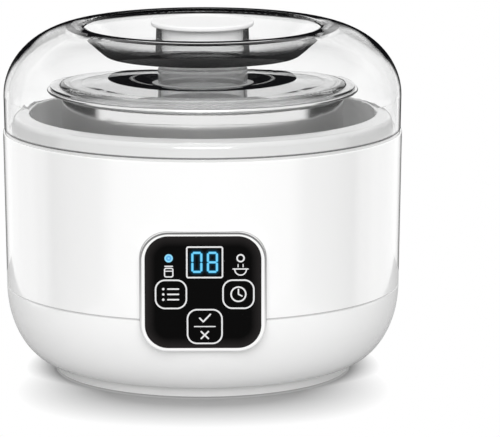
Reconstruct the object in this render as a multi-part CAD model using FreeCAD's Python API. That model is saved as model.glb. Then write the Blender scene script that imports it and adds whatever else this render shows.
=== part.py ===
"""Round countertop yogurt maker: a warming base with a lift-out pot, its clear lid and a clear dome.

Millimetres, +Z up, origin on the table at the centre of the base, control panel facing -Y.
"""
import FreeCAD
import Part
import math
import os

V = FreeCAD.Vector
Z_AXIS = V(0, 0, 1)

# Outer housing
wall = 2.4
top_radius = 100.5
housing_taper = 1.2
parting_z = 44.0
parting_groove = 0.4
housing_top_z = 122.1
housing_edge_round = 0.6
bowl_round_r = 27.0
bowl_round_z = 39.5
bowl_floor_z = 7.2
lap_height = 3.0
lap_depth = 10.0
lap_wall = 1.6
fit_gap = 0.2
seat_gap = 0.3

# Base plate, feet and fasteners
base_rim_inset = 23.7
base_foot_draft = 1.0
base_wall = 2.2
floor_flange_width = 9.6
spigot_wall = 2.0
foot_proud = 1.0
foot_radius = 7.0
foot_pocket = 1.2
foot_inset = 14.0
foot_round = 0.6
vent_count = 12
vent_width = 2.4
vent_inner = 26.0
vent_length = 14.0
screw_radius = 1.5
screw_head_radius = 2.8
screw_head_height = 2.2
screw_play = 0.2
thread_play = 0.05
boss_radius = 3.2
base_screw_inset = 6.1
base_screw_length = 14.0
shell_boss_height = 14.0
shell_boss_drop = 13.0
chamber_screw_length = 11.0
quarter_angles = (45.0, 135.0, 225.0, 315.0)

# Deck ring round the well
ledge_inset = 1.3
ledge_height = 1.0
crown_inset = 4.3
crown_draft = 0.6
crown_side_height = 4.4
crown_round = 3.0
crown_height = 8.6
crown_span = 9.1
deck_wall = 2.2
deck_lip_depth = 4.0
well_mouth_round = 1.0
well_skirt_draft = 1.3

# Heating well, heater and sensor
well_inset = 11.3
well_wall = 1.2
well_floor_z = 29.2
well_corner = 8.0
well_flange_drop = 10.9
well_flange_lap = 0.4
sleeve_wall = 2.4
sleeve_low_z = 40.0
sleeve_gap = 0.2
heater_inset = 16.5
heater_bore = 12.0
heater_thick = 1.6
heater_cover_thick = 0.8
sensor_radius = 4.5
sensor_neck_radius = 2.7
sensor_height = 7.0
sensor_clip_width = 9.0
sensor_clip_thick = 0.8
sensor_clip_length = 44.0
fuse_radius = 2.2
fuse_length = 18.0
fuse_x = -34.0

# Pot and pot lid
pot_gap = 3.5
pot_draft = 3.0
pot_wall = 1.2
pot_corner = 14.0
pot_rim_reach = 7.0
pot_rim_thick = 1.7
pot_rim_rise = 21.9
pot_straight = 8.0
lid_sheet = 1.7
lid_flange_inset = 1.5
lid_flange_thick = 1.2
lid_step_inset = 6.2
lid_step_round = 2.4
lid_plateau_rise = 3.0
lid_pan_inset = 17.0
lid_pan_slope = 6.0
lid_pan_drop = 0.8
lid_skirt_wall = 1.6
lid_skirt_depth = 6.0
seal_height = 2.4
seal_groove = 0.8
seal_reach = 1.2
knob_radius = 22.5
knob_height = 10.1
knob_foot_reach = 2.9
knob_foot_height = 1.0
knob_round = 1.6
knob_dimple_inset = 5.5
knob_dimple_depth = 0.8

# Dome with its grip dish
dome_inset = 0.4
dome_flare = 0.3
dome_wall = 2.0
dome_crest_wall = 2.5
dome_round_r = 41.5
dome_round_z = 35.6
dome_spring_rise = 18.0
crest_land = 7.5
crest_width = 5.0
crest_swell = 0.2
dish_inset = 12.4
dish_depth = 13.3
dish_ease = 3.0
dish_crest = 1.6
post_radius = 23.6
post_draft = 0.4
post_wall = 2.6
post_height = 12.2
post_root_round = 1.0
cap_reach = 2.6
cap_height = 2.6
cap_round = 1.0
cap_dish_inset = 5.4
cap_dish_depth = 0.7
cap_plug_depth = 6.0
cap_plug_wall = 1.8

# Control panel on the front of the housing
panel_z = 58.8
panel_proud = 0.4
frame_width = 61.0
frame_height = 58.6
frame_corner = 13.6
frame_edge_round = 0.7
frame_flange_extra = 3.0
frame_flange_depth = 12.3
frame_flange_thick = 1.6
frame_ledge_width = 0.9
frame_ledge_thick = 2.0
face_side_band = 2.35
face_top_band = 1.75
face_corner = 11.3
face_thick = 2.0
face_sink = 0.3
panel_gap = 0.1
key_group_x = 0.8
key_gap = 0.2
key_stem_radius = 1.8
key_lip = 0.6
key_lip_thick = 1.1
key_travel = 0.6
key_side_inset = 11.8
key_side_drop = 1.0
key_side_size = (15.6, 14.6)
key_low_rise = 10.55
key_low_size = (17.4, 17.4)
key_corner = 5.0
window_size = (17.9, 15.7)
window_corner = 1.2
window_drop = 12.75
lamp_inset = 10.75
lamp_drop = 10.75
lamp_radius = 2.05
board_depth = 16.9
board_side_inset = 1.5
board_top_inset = 4.3
board_thick = 1.6
board_screw_side_inset = 3.9
board_screw_top_inset = 9.3
small_screw_radius = 1.1
small_head_radius = 2.1
small_head_height = 1.4
small_boss_radius = 2.3
small_screw_length = 4.6
switch_size = 6.0
switch_height = 3.5
switch_plunger_radius = 1.7
switch_plunger_height = 1.2
switch_slack = 0.1
digits_size = (16.0, 12.4)
digits_gap = 1.0

# Power inlet, power board and leads
inlet_z = 58.0
inlet_width = 25.6
inlet_height = 15.6
inlet_corner = 4.0
inlet_depth = 14.9
inlet_flange_extra = 3.2
inlet_flange_depth = 6.5
inlet_flange_thick = 2.2
inlet_lobe_radius = 4.4
inlet_pin_pitch = 8.6
inlet_pin_radius = 1.2
inlet_pin_length = 8.0
inlet_recess = 10.5
supply_width = 64.0
supply_depth = 44.0
supply_y = 20.0
supply_z = 13.0
supply_hole_inset = 5.0
transformer_size = (21.0, 18.0, 9.5)
relay_size = (15.0, 10.5, 9.0)
capacitor_radius = 4.0
capacitor_height = 9.5
lead_radius = 1.2
lead_bend = 6.0
heater_lead_radius = 0.7
heater_lead_x = 12.0
ribbon_width = 9.0
ribbon_thick = 1.0
ribbon_x = 14.0
ribbon_board_z = 41.0


def outline(points):
    """Closed wire in the XZ plane from (r, z) corners; an edge object in the list joins its neighbours."""
    edges = []
    last = None
    first = None
    for item in points:
        if len(item) == 2:
            here = V(item[0], 0, item[1])
            if last is not None and last.distanceToPoint(here) > 1e-7:
                edges.append(Part.makeLine(last, here))
            last = here
        else:
            start, end, edge = item
            if last is not None and last.distanceToPoint(start) > 1e-7:
                edges.append(Part.makeLine(last, start))
            edges.append(edge)
            last = end
            here = start
        first = first or here
    if last.distanceToPoint(first) > 1e-7:
        edges.append(Part.makeLine(last, first))
    return Part.Wire(edges)


def arc(start, middle, end):
    """Circular arc through three (r, z) points, as an item for outline()."""
    a, m, b = (V(p[0], 0, p[1]) for p in (start, middle, end))
    return a, b, Part.Arc(a, m, b).toShape()


def round_corner(corner, start_dir, end_dir, radius):
    """Quarter-turn arc that rounds a square corner between two unit directions leaving it."""
    a = (corner[0] + start_dir[0] * radius, corner[1] + start_dir[1] * radius)
    b = (corner[0] + end_dir[0] * radius, corner[1] + end_dir[1] * radius)
    centre = (a[0] + end_dir[0] * radius, a[1] + end_dir[1] * radius)
    reach = radius * math.sqrt(0.5)
    m = (centre[0] - (start_dir[0] + end_dir[0]) * reach, centre[1] - (start_dir[1] + end_dir[1]) * reach)
    return arc(a, m, b)


def eased_corner(before, corner, after, length):
    """Arc that eases a corner of an outline, tangent to both sides at a length from the corner."""
    c = V(corner[0], 0, corner[1])
    sides = [(V(p[0], 0, p[1]) - c).normalize() for p in (before, after)]
    half = sides[0].getAngle(sides[1]) / 2
    inward = (sides[0] + sides[1]).normalize()
    reach = length * (1 - math.sin(half)) / math.cos(half)
    points = (c + sides[0] * length, c + inward * reach, c + sides[1] * length)
    return arc(*[(p.x, p.z) for p in points])


def oval_arc(centre, radius_r, radius_z, start_deg, end_deg):
    """Arc of an upright ellipse; angles run from +r towards +z."""
    c = V(centre[0], 0, centre[1])
    if radius_r >= radius_z:
        oval = Part.Ellipse(c + V(radius_r, 0, 0), c + V(0, 0, radius_z), c)
        low, high = math.radians(start_deg), math.radians(end_deg)
    else:
        oval = Part.Ellipse(c + V(0, 0, radius_z), c + V(-radius_r, 0, 0), c)
        low, high = math.radians(start_deg - 90), math.radians(end_deg - 90)
    edge = Part.ArcOfEllipse(oval, min(low, high), max(low, high)).toShape()
    return oval.value(low), oval.value(high), edge


def oval_deg(radius_z, rise):
    """Angle from +r at which an upright ellipse has risen by rise."""
    return math.degrees(math.asin(rise / radius_z))


def turned(points):
    """Solid of revolution about Z from a closed (r, z) outline."""
    solid = Part.Face(outline(points)).revolve(V(0, 0, 0), Z_AXIS, 360)
    return solid if solid.ShapeType == "Solid" else Part.Solid(solid)


def ring(inner, outer, low, high):
    """Plain ring about Z; a disc where inner is 0."""
    disc = Part.makeCylinder(outer, high - low, V(0, 0, low))
    if inner <= 0:
        return disc
    return disc.cut(Part.makeCylinder(inner, high - low, V(0, 0, low)))


def post(x, y, radius, low, high):
    """Upright cylinder."""
    return Part.makeCylinder(radius, high - low, V(x, y, low))


def around(circle, angles):
    """(x, y) points on a circle about Z."""
    return [(circle * math.cos(math.radians(a)), circle * math.sin(math.radians(a))) for a in angles]


def block(cx, cy, width, depth, low, high):
    """Upright box centred at (cx, cy)."""
    return Part.makeBox(width, depth, high - low, V(cx - width / 2, cy - depth / 2, low))


def plate(width, height, corner, cx, cz, y_low, y_high):
    """Rounded rectangle in the XZ plane, extruded along Y."""
    x0, x1 = cx - width / 2, cx + width / 2
    z0, z1 = cz - height / 2, cz + height / 2
    items = [
        (x0 + corner, z0),
        round_corner((x1, z0), (-1, 0), (0, 1), corner),
        round_corner((x1, z1), (0, -1), (-1, 0), corner),
        round_corner((x0, z1), (1, 0), (0, -1), corner),
        round_corner((x0, z0), (0, 1), (1, 0), corner),
    ]
    face = Part.Face(outline(items))
    face.translate(V(0, y_low, 0))
    return face.extrude(V(0, y_high - y_low, 0))


def rod(x, z, radius, y_low, y_high):
    """Cylinder along Y."""
    return Part.makeCylinder(radius, y_high - y_low, V(x, y_low, z), V(0, 1, 0))


def joined(first, *others):
    """One solid from pieces that share volume."""
    shape = first.fuse(list(others)).removeSplitter()
    return shape.Solids[0] if len(shape.Solids) == 1 else shape


def bent_path(points, bend):
    """Straight runs between points, joined by arcs of one radius."""
    path = []
    last = points[0]
    for before, corner, after in zip(points, points[1:], points[2:]):
        into = (corner - before).normalize()
        out = (after - corner).normalize()
        turn = into.getAngle(out)
        reach = bend * math.tan(turn / 2)
        start = corner - into * reach
        end = corner + out * reach
        inward = (out - into).normalize()
        middle = corner + inward * (bend / math.cos(turn / 2) - bend)
        path.append(Part.makeLine(last, start))
        path.append(Part.Arc(start, middle, end).toShape())
        last = end
    path.append(Part.makeLine(last, points[-1]))
    return Part.Wire(path)


def lead(points, radius, bend):
    """Round insulated wire along a bent path."""
    section = Part.Wire(Part.makeCircle(radius, points[0], points[1] - points[0]))
    return bent_path(points, bend).makePipeShell([section], True, False)


# Radii and levels that follow from the driving dimensions
waist_radius = top_radius - housing_taper
bowl_centre = (waist_radius - bowl_round_r, parting_z)
base_rim_radius = waist_radius - base_rim_inset
base_foot_radius = base_rim_radius - base_foot_draft
floor_opening_radius = base_rim_radius - floor_flange_width
base_screw_circle = base_rim_radius - base_screw_inset
foot_circle = floor_opening_radius - foot_inset
base_low_z = foot_proud
base_floor_z = base_low_z + base_wall
flange_top_z = bowl_floor_z + wall
shell_boss_circle = waist_radius - wall - boss_radius - lap_wall - fit_gap
ledge_radius = top_radius - ledge_inset
ledge_z = housing_top_z + ledge_height
crown_foot_radius = top_radius - crown_inset
crown_z = ledge_z + crown_height
well_mouth_radius = crown_foot_radius - crown_span
well_skirt_radius = well_mouth_radius - well_skirt_draft
deck_lip_inner = crown_foot_radius - deck_wall
deck_boss_circle = (well_skirt_radius + deck_wall + deck_lip_inner) / 2
well_radius = well_skirt_radius - well_inset
well_flange_z = housing_top_z - well_flange_drop
well_flange_radius = deck_lip_inner + well_flange_lap
well_base_z = well_floor_z - well_wall
heater_radius = well_radius - heater_inset
heater_low_z = well_base_z - heater_thick
heater_cover_low_z = heater_low_z - heater_cover_thick
pot_radius = well_radius - pot_gap
pot_foot_radius = pot_radius - pot_draft
pot_rim_radius = pot_radius + pot_rim_reach
pot_rim_z = housing_top_z + pot_rim_rise
pot_base_z = well_floor_z + seat_gap
lid_flange_radius = pot_rim_radius - lid_flange_inset
lid_step_radius = pot_rim_radius - lid_step_inset
lid_pan_outer = pot_rim_radius - lid_pan_inset
lid_pan_inner = lid_pan_outer - lid_pan_slope
lid_skirt_radius = pot_radius - pot_wall - seal_reach - seat_gap
lid_flange_z = pot_rim_z + seat_gap
lid_flange_top = lid_flange_z + lid_flange_thick
lid_plateau_z = lid_flange_z + lid_plateau_rise
lid_pan_z = lid_plateau_z - lid_pan_drop
knob_top_z = lid_pan_z + knob_height
seal_low_z = lid_flange_z - lid_skirt_depth + seal_height / 2
dome_radius = top_radius - dome_inset
dome_low_z = ledge_z + seat_gap
dome_spring_z = housing_top_z + dome_spring_rise
dome_centre = (dome_radius - dome_round_r, dome_spring_z)
dome_crest_z = dome_spring_z + dome_round_z
dish_floor_radius = dome_centre[0] - dish_inset
dish_floor_z = dome_crest_z - dish_depth
post_top_radius = post_radius - post_draft
post_top_z = dish_floor_z + post_height
post_bore = post_top_radius - post_wall
cap_radius = post_top_radius + cap_reach
cap_top_z = post_top_z + cap_height
panel_front = top_radius + panel_proud
face_width = frame_width - 2 * face_side_band - 2 * panel_gap
face_height = frame_height - 2 * face_top_band - 2 * panel_gap
face_low_z = panel_z - face_height / 2
face_top_z = panel_z + face_height / 2
key_side_x = face_width / 2 - key_side_inset
key_side_z = panel_z - key_side_drop
key_low_z = face_low_z + key_low_rise
window_z = face_top_z - window_drop
lamp_x = face_width / 2 - lamp_inset
lamp_z = face_top_z - lamp_drop
face_front = panel_front - face_sink
face_back = face_front - face_thick
frame_flange_front = panel_front - frame_flange_depth
frame_flange_back = frame_flange_front - frame_flange_thick
board_front = panel_front - board_depth
board_width = frame_width - 2 * board_side_inset
board_height = frame_height - 2 * board_top_inset
board_screw_x = frame_width / 2 - board_screw_side_inset
board_screw_z = frame_height / 2 - board_screw_top_inset
switch_front = board_front + switch_height
plunger_front = switch_front + switch_plunger_height
stem_end = plunger_front + key_travel + switch_slack
inlet_front = top_radius + panel_proud
inlet_back = inlet_front - inlet_depth
inlet_flange_front = inlet_front - inlet_flange_depth


def upper_housing():
    """Tapered outer shell with the panel opening, the inlet opening and its screw bosses."""
    shell = turned([
        (waist_radius - parting_groove, parting_z),
        (waist_radius, parting_z + parting_groove),
        round_corner((top_radius, housing_top_z), (0, -1), (-1, 0), housing_edge_round),
        (top_radius - wall, housing_top_z),
        (waist_radius - wall, parting_z),
    ])
    boss_low = parting_z + lap_height + seat_gap
    bosses = []
    for angle, (x, y) in zip(quarter_angles, around(shell_boss_circle, quarter_angles)):
        reach = waist_radius - wall / 2 - shell_boss_circle
        rib = Part.makeBox(reach, lap_wall, shell_boss_height, V(shell_boss_circle, -lap_wall / 2, boss_low))
        rib.rotate(V(0, 0, 0), Z_AXIS, angle)
        bosses += [post(x, y, boss_radius, boss_low, boss_low + shell_boss_height), rib]
    shell = joined(shell, *bosses)
    for x, y in around(shell_boss_circle, quarter_angles):
        hole_top = boss_low + shell_boss_height - wall
        shell = shell.cut(post(x, y, screw_radius + thread_play, boss_low, hole_top))
    return shell.cut(panel_opening()).cut(inlet_opening())


def panel_opening():
    """Hole through both housing shells for the control frame."""
    return plate(frame_width + 2 * fit_gap, frame_height + 2 * fit_gap, frame_corner + fit_gap, 0, panel_z,
                 -2 * top_radius, -board_front)


def inlet_opening():
    """Hole in the back of the upper housing for the power inlet."""
    width, height = inlet_width + 2 * fit_gap, inlet_height + 2 * fit_gap
    return plate(width, height, inlet_corner + fit_gap, 0, inlet_z, inlet_flange_front, 2 * top_radius)


def lower_housing():
    """Bowl-shaped bottom shell with a floor flange, a lap tongue and screw bosses."""
    inner_r, inner_z = bowl_round_r - wall, bowl_round_z - wall
    drop = oval_deg(bowl_round_z, bowl_floor_z - parting_z)
    inner_drop = oval_deg(inner_z, flange_top_z - parting_z)
    bowl = turned([
        (floor_opening_radius, bowl_floor_z),
        oval_arc(bowl_centre, bowl_round_r, bowl_round_z, drop, oval_deg(bowl_round_z, -parting_groove)),
        (waist_radius - parting_groove, parting_z),
        (waist_radius - wall, parting_z),
        oval_item_reversed(oval_arc(bowl_centre, inner_r, inner_z, inner_drop, 0)),
        (floor_opening_radius, flange_top_z),
    ])
    tongue_outer = waist_radius - wall - fit_gap
    tongue = ring(tongue_outer - lap_wall, tongue_outer, parting_z - lap_depth, parting_z + lap_height)
    pieces = [tongue]
    boss_low = parting_z + lap_height - shell_boss_drop
    for angle, (x, y) in zip(quarter_angles, around(shell_boss_circle, quarter_angles)):
        reach = tongue_outer - shell_boss_circle
        rib = Part.makeBox(reach, lap_wall, shell_boss_drop, V(shell_boss_circle, -lap_wall / 2, boss_low))
        rib.rotate(V(0, 0, 0), Z_AXIS, angle)
        pieces += [post(x, y, boss_radius, boss_low, boss_low + shell_boss_drop), rib]
    for x, y in around(base_screw_circle, quarter_angles):
        pieces.append(post(x, y, boss_radius, bowl_floor_z, bowl_floor_z + base_screw_length))
    shell = joined(bowl, *pieces)
    for x, y in around(shell_boss_circle, quarter_angles):
        shell = shell.cut(post(x, y, screw_radius + screw_play, boss_low, parting_z + lap_height))
    for x, y in around(base_screw_circle, quarter_angles):
        hole_top = bowl_floor_z + base_screw_length - wall
        shell = shell.cut(post(x, y, screw_radius + thread_play, bowl_floor_z, hole_top))
    return shell.cut(panel_opening())


def oval_item_reversed(item):
    """The same arc walked from its end to its start."""
    start, end, edge = item
    return end, start, edge


def base_plate():
    """Bottom cover: a shallow tray with a spigot, foot pockets, vents and stand-offs."""
    tray = turned([
        (0, base_low_z),
        (base_foot_radius, base_low_z),
        (base_rim_radius, bowl_floor_z),
        (base_rim_radius - base_wall, bowl_floor_z),
        (base_foot_radius - base_wall, base_floor_z),
        (0, base_floor_z),
    ])
    spigot_outer = floor_opening_radius - fit_gap
    pieces = [ring(spigot_outer - spigot_wall, spigot_outer, base_low_z, flange_top_z)]
    screw_places = around(base_screw_circle, quarter_angles)
    pieces += [post(x, y, boss_radius, base_low_z, bowl_floor_z) for x, y in screw_places]
    pieces += [post(x, y, small_boss_radius, base_low_z, supply_z) for x, y in supply_holes()]
    cover = joined(tray, *pieces)
    head_top = base_low_z + screw_head_height
    for x, y in screw_places:
        cover = cover.cut(post(x, y, screw_radius + screw_play, base_low_z, bowl_floor_z))
        cover = cover.cut(post(x, y, screw_head_radius + screw_play, base_low_z, head_top))
    for x, y in supply_holes():
        cover = cover.cut(post(x, y, small_screw_radius + thread_play, base_floor_z, supply_z))
    for x, y in around(foot_circle, foot_angles()):
        cover = cover.cut(post(x, y, foot_radius + fit_gap, base_low_z, base_low_z + foot_pocket))
    for index in range(vent_count):
        slot = block(vent_inner + vent_length / 2, 0, vent_length, vent_width, base_low_z, base_floor_z)
        slot.rotate(V(0, 0, 0), Z_AXIS, (index + 0.5) * 360 / vent_count)
        cover = cover.cut(slot)
    return cover


def foot_angles():
    """Directions of the feet, between the base screws."""
    return [angle - 45 for angle in quarter_angles]


def rubber_feet():
    """Four pressed-in rubber feet."""
    top = base_low_z + foot_pocket
    foot = turned([
        (0, 0),
        (foot_radius - foot_round, 0),
        arc((foot_radius - foot_round, 0),
            (foot_radius - foot_round * (1 - math.sqrt(0.5)), foot_round * (1 - math.sqrt(0.5))),
            (foot_radius, foot_round)),
        (foot_radius, top),
        (0, top),
    ])
    return copies(foot, around(foot_circle, foot_angles()))


def copies(solid, places):
    """Compound of the same solid moved to several (x, y) places."""
    return Part.makeCompound([moved(solid, V(x, y, 0)) for x, y in places])


def moved(solid, by):
    """A translated copy."""
    new = solid.copy()
    new.translate(by)
    return new


def upright_screw(radius, length, head_radius, head_height, head_low):
    """Pan-head screw pointing up, with a cross recess in its head."""
    screw = joined(post(0, 0, head_radius, head_low, head_low + head_height),
                   post(0, 0, radius, head_low, head_low + head_height + length))
    slot = radius * 0.5
    for width, depth in ((2 * radius, slot), (slot, 2 * radius)):
        screw = screw.cut(block(0, 0, width, depth, head_low, head_low + head_height / 2))
    return screw


def base_screws():
    """Screws that hold the base plate to the lower housing."""
    length = base_screw_length + bowl_floor_z - base_low_z - screw_head_height - 2 * wall
    screw = upright_screw(screw_radius, length, screw_head_radius, screw_head_height, base_low_z)
    return copies(screw, around(base_screw_circle, quarter_angles))


def shell_screws():
    """Screws that hold the lower housing to the upper one."""
    head_low = parting_z + lap_height - shell_boss_drop - screw_head_height
    length = shell_boss_drop + seat_gap + shell_boss_height - 2 * wall
    screw = upright_screw(screw_radius, length, screw_head_radius, screw_head_height, head_low)
    return copies(screw, around(shell_boss_circle, quarter_angles))


def deck_ring():
    """White collar round the well: outer ledge for the dome, rounded crown and inner skirt."""
    edge = ledge_height / 3
    side_r = crown_foot_radius - crown_draft
    side_z = ledge_z + crown_side_height
    shoulder = (side_r - crown_round, side_z + crown_round)
    bulge = crown_round * (1 - math.sqrt(0.5))
    mouth_z = crown_z - well_mouth_round
    lip_outer = top_radius - wall - 2 * fit_gap
    lip_low = housing_top_z - deck_lip_depth
    skirt_outer = well_skirt_radius + deck_wall
    body = turned([
        (ledge_radius, housing_top_z),
        (ledge_radius, ledge_z - edge),
        (ledge_radius - edge, ledge_z),
        (crown_foot_radius, ledge_z),
        (side_r, side_z),
        arc((side_r, side_z), (side_r - bulge, side_z + crown_round - bulge), shoulder),
        round_corner((well_mouth_radius, crown_z), (1, 0), (0, -1), well_mouth_round),
        (well_mouth_radius, mouth_z),
        (well_skirt_radius, well_flange_z),
        (skirt_outer, well_flange_z),
        (well_mouth_radius + deck_wall, mouth_z - deck_wall / 2),
        (shoulder[0] - deck_wall / 2, shoulder[1] - deck_wall),
        (deck_lip_inner - crown_draft, side_z),
        (deck_lip_inner, lip_low),
        (lip_outer, lip_low),
        (lip_outer, housing_top_z),
    ])
    boss_top = shoulder[1] - deck_wall / 2
    hole_top = well_flange_z + chamber_screw_length
    places = around(deck_boss_circle, quarter_angles)
    body = joined(body, *[post(x, y, boss_radius, well_flange_z, boss_top) for x, y in places])
    for x, y in places:
        body = body.cut(post(x, y, screw_radius + thread_play, well_flange_z, hole_top))
    return body


def heating_chamber():
    """Aluminium well that the pot stands in, hung from the deck ring by its flange."""
    outer = well_radius + well_wall
    flange_low = well_flange_z - well_wall
    diag = 1 - math.sqrt(0.5)
    corner_out = well_corner + well_wall
    body = turned([
        (0, well_floor_z),
        (well_radius - well_corner, well_floor_z),
        arc((well_radius - well_corner, well_floor_z),
            (well_radius - well_corner * diag, well_floor_z + well_corner * diag),
            (well_radius, well_floor_z + well_corner)),
        (well_radius, well_flange_z),
        (well_flange_radius, well_flange_z),
        (well_flange_radius, flange_low),
        (outer, flange_low),
        arc((outer, well_base_z + corner_out),
            (outer - corner_out * diag, well_base_z + corner_out * diag),
            (outer - corner_out, well_base_z)),
        (0, well_base_z),
    ])
    for x, y in around(deck_boss_circle, quarter_angles):
        body = body.cut(post(x, y, screw_radius + screw_play, flange_low, well_flange_z))
    return body


def chamber_screws():
    """Screws up through the well's flange into the deck ring."""
    head_low = well_flange_z - well_wall - screw_head_height
    length = chamber_screw_length
    screw = upright_screw(screw_radius, length, screw_head_radius, screw_head_height, head_low)
    return copies(screw, around(deck_boss_circle, quarter_angles))


def insulation_sleeve():
    """Felt band round the upper half of the well."""
    inner = well_radius + well_wall + sleeve_gap
    return ring(inner, inner + sleeve_wall, sleeve_low_z, well_flange_z - well_wall - screw_head_height)


def heater_pad():
    """Flat foil heater stuck under the well's floor."""
    return ring(heater_bore, heater_radius, heater_low_z, well_base_z)


def heater_cover():
    """Thin sheet that holds the heater against the well."""
    return ring(heater_bore, heater_radius, heater_cover_low_z, heater_low_z)


def temperature_sensor():
    """Button sensor at the centre of the well's floor."""
    return joined(post(0, 0, sensor_radius, heater_cover_low_z, well_base_z),
                  post(0, 0, sensor_neck_radius, well_base_z - sensor_height, well_base_z))


def sensor_clip():
    """Sheet-metal strap that presses the sensor up, held under the heater cover."""
    low = heater_cover_low_z - sensor_clip_thick
    strap = block(0, 0, sensor_clip_length, sensor_clip_width, low, heater_cover_low_z)
    return strap.cut(post(0, 0, sensor_neck_radius + fit_gap, low, heater_cover_low_z))


def thermal_fuse():
    """One-shot fuse lying under the heater cover."""
    z = heater_cover_low_z - fuse_radius
    body = Part.makeCylinder(fuse_radius, fuse_length, V(fuse_x, -fuse_length / 2, z), V(0, 1, 0))
    pin = fuse_radius * 0.3
    tail = Part.makeCylinder(pin, fuse_length * 1.6, V(fuse_x, -fuse_length * 0.8, z), V(0, 1, 0))
    return joined(body, tail)


def inner_pot():
    """Steel pot with a turned-out rim and a rounded base."""
    inner_top = pot_radius - pot_wall
    inner_foot = pot_foot_radius - pot_wall
    rim_low = pot_rim_z - pot_rim_thick
    edge = pot_rim_thick / 2
    rise = pot_base_z + pot_corner
    bend = 2 * pot_wall
    diag = 1 - math.sqrt(0.5)
    inner_corner = pot_corner - pot_wall
    floor_z = pot_base_z + pot_wall
    return turned([
        (0, pot_base_z),
        (pot_foot_radius - pot_corner, pot_base_z),
        arc((pot_foot_radius - pot_corner, pot_base_z),
            (pot_foot_radius - pot_corner * diag, pot_base_z + pot_corner * diag),
            (pot_foot_radius, rise)),
        (pot_radius, rim_low - bend - pot_straight),
        arc((pot_radius, rim_low - bend), (pot_radius + bend * diag, rim_low - bend * diag),
            (pot_radius + bend, rim_low)),
        (pot_rim_radius - edge, rim_low),
        arc((pot_rim_radius - edge, rim_low), (pot_rim_radius, rim_low + edge),
            (pot_rim_radius - edge, pot_rim_z)),
        (inner_top + edge, pot_rim_z),
        arc((inner_top + edge, pot_rim_z), (inner_top + edge * diag, pot_rim_z - edge * diag),
            (inner_top, pot_rim_z - edge)),
        (inner_top, rim_low - bend - pot_straight),
        (inner_foot, floor_z + inner_corner),
        arc((inner_foot, floor_z + inner_corner),
            (inner_foot - inner_corner * diag, floor_z + inner_corner * diag),
            (inner_foot - inner_corner, floor_z)),
        (0, floor_z),
    ])


def pot_lid():
    """Clear lid with a stepped top, a hollow knob and a skirt that plugs into the pot."""
    under_pan = lid_pan_z - lid_sheet
    under_plateau = lid_plateau_z - lid_sheet
    skirt_inner = lid_skirt_radius - lid_skirt_wall
    skirt_low = lid_flange_z - lid_skirt_depth
    groove = lid_skirt_radius - seal_groove
    knob_in = knob_radius - lid_sheet
    knob_foot = knob_radius + knob_foot_reach
    dimple = knob_radius - knob_dimple_inset
    return turned([
        (lid_flange_radius, lid_flange_z),
        (lid_flange_radius, lid_flange_top),
        (lid_step_radius, lid_flange_top),
        round_corner((lid_step_radius, lid_plateau_z), (0, -1), (-1, 0), lid_step_round),
        (lid_pan_outer, lid_plateau_z),
        (lid_pan_inner, lid_pan_z),
        (knob_foot, lid_pan_z),
        (knob_foot, lid_pan_z + knob_foot_height),
        (knob_radius, lid_pan_z + knob_foot_height),
        (knob_radius, knob_top_z - knob_round),
        round_corner((knob_radius, knob_top_z), (0, -1), (-1, 0), knob_round),
        (dimple, knob_top_z),
        (dimple - knob_dimple_depth, knob_top_z - knob_dimple_depth),
        (0, knob_top_z - knob_dimple_depth),
        (0, knob_top_z - knob_dimple_depth - lid_sheet),
        (knob_in, knob_top_z - knob_dimple_depth - lid_sheet),
        (knob_in, under_pan),
        (lid_pan_inner, under_pan),
        (lid_pan_outer, under_plateau),
        (skirt_inner, under_plateau),
        (skirt_inner, skirt_low),
        (lid_skirt_radius, skirt_low),
        (lid_skirt_radius, seal_low_z),
        (groove, seal_low_z),
        (groove, seal_low_z + seal_height),
        (lid_skirt_radius, seal_low_z + seal_height),
        (lid_skirt_radius, lid_flange_z),
    ])


def pot_lid_seal():
    """Silicone ring in the lid's groove, with two soft lips."""
    inner = lid_skirt_radius - seal_groove
    body = lid_skirt_radius + seal_reach * 0.4
    tip = lid_skirt_radius + seal_reach
    third = seal_height / 3
    return turned([
        (inner, seal_low_z),
        (body, seal_low_z),
        (tip, seal_low_z + third / 2),
        (body, seal_low_z + third),
        (body, seal_low_z + 2 * third),
        (tip, seal_low_z + 2.5 * third),
        (body, seal_low_z + seal_height),
        (inner, seal_low_z + seal_height),
    ])


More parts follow.
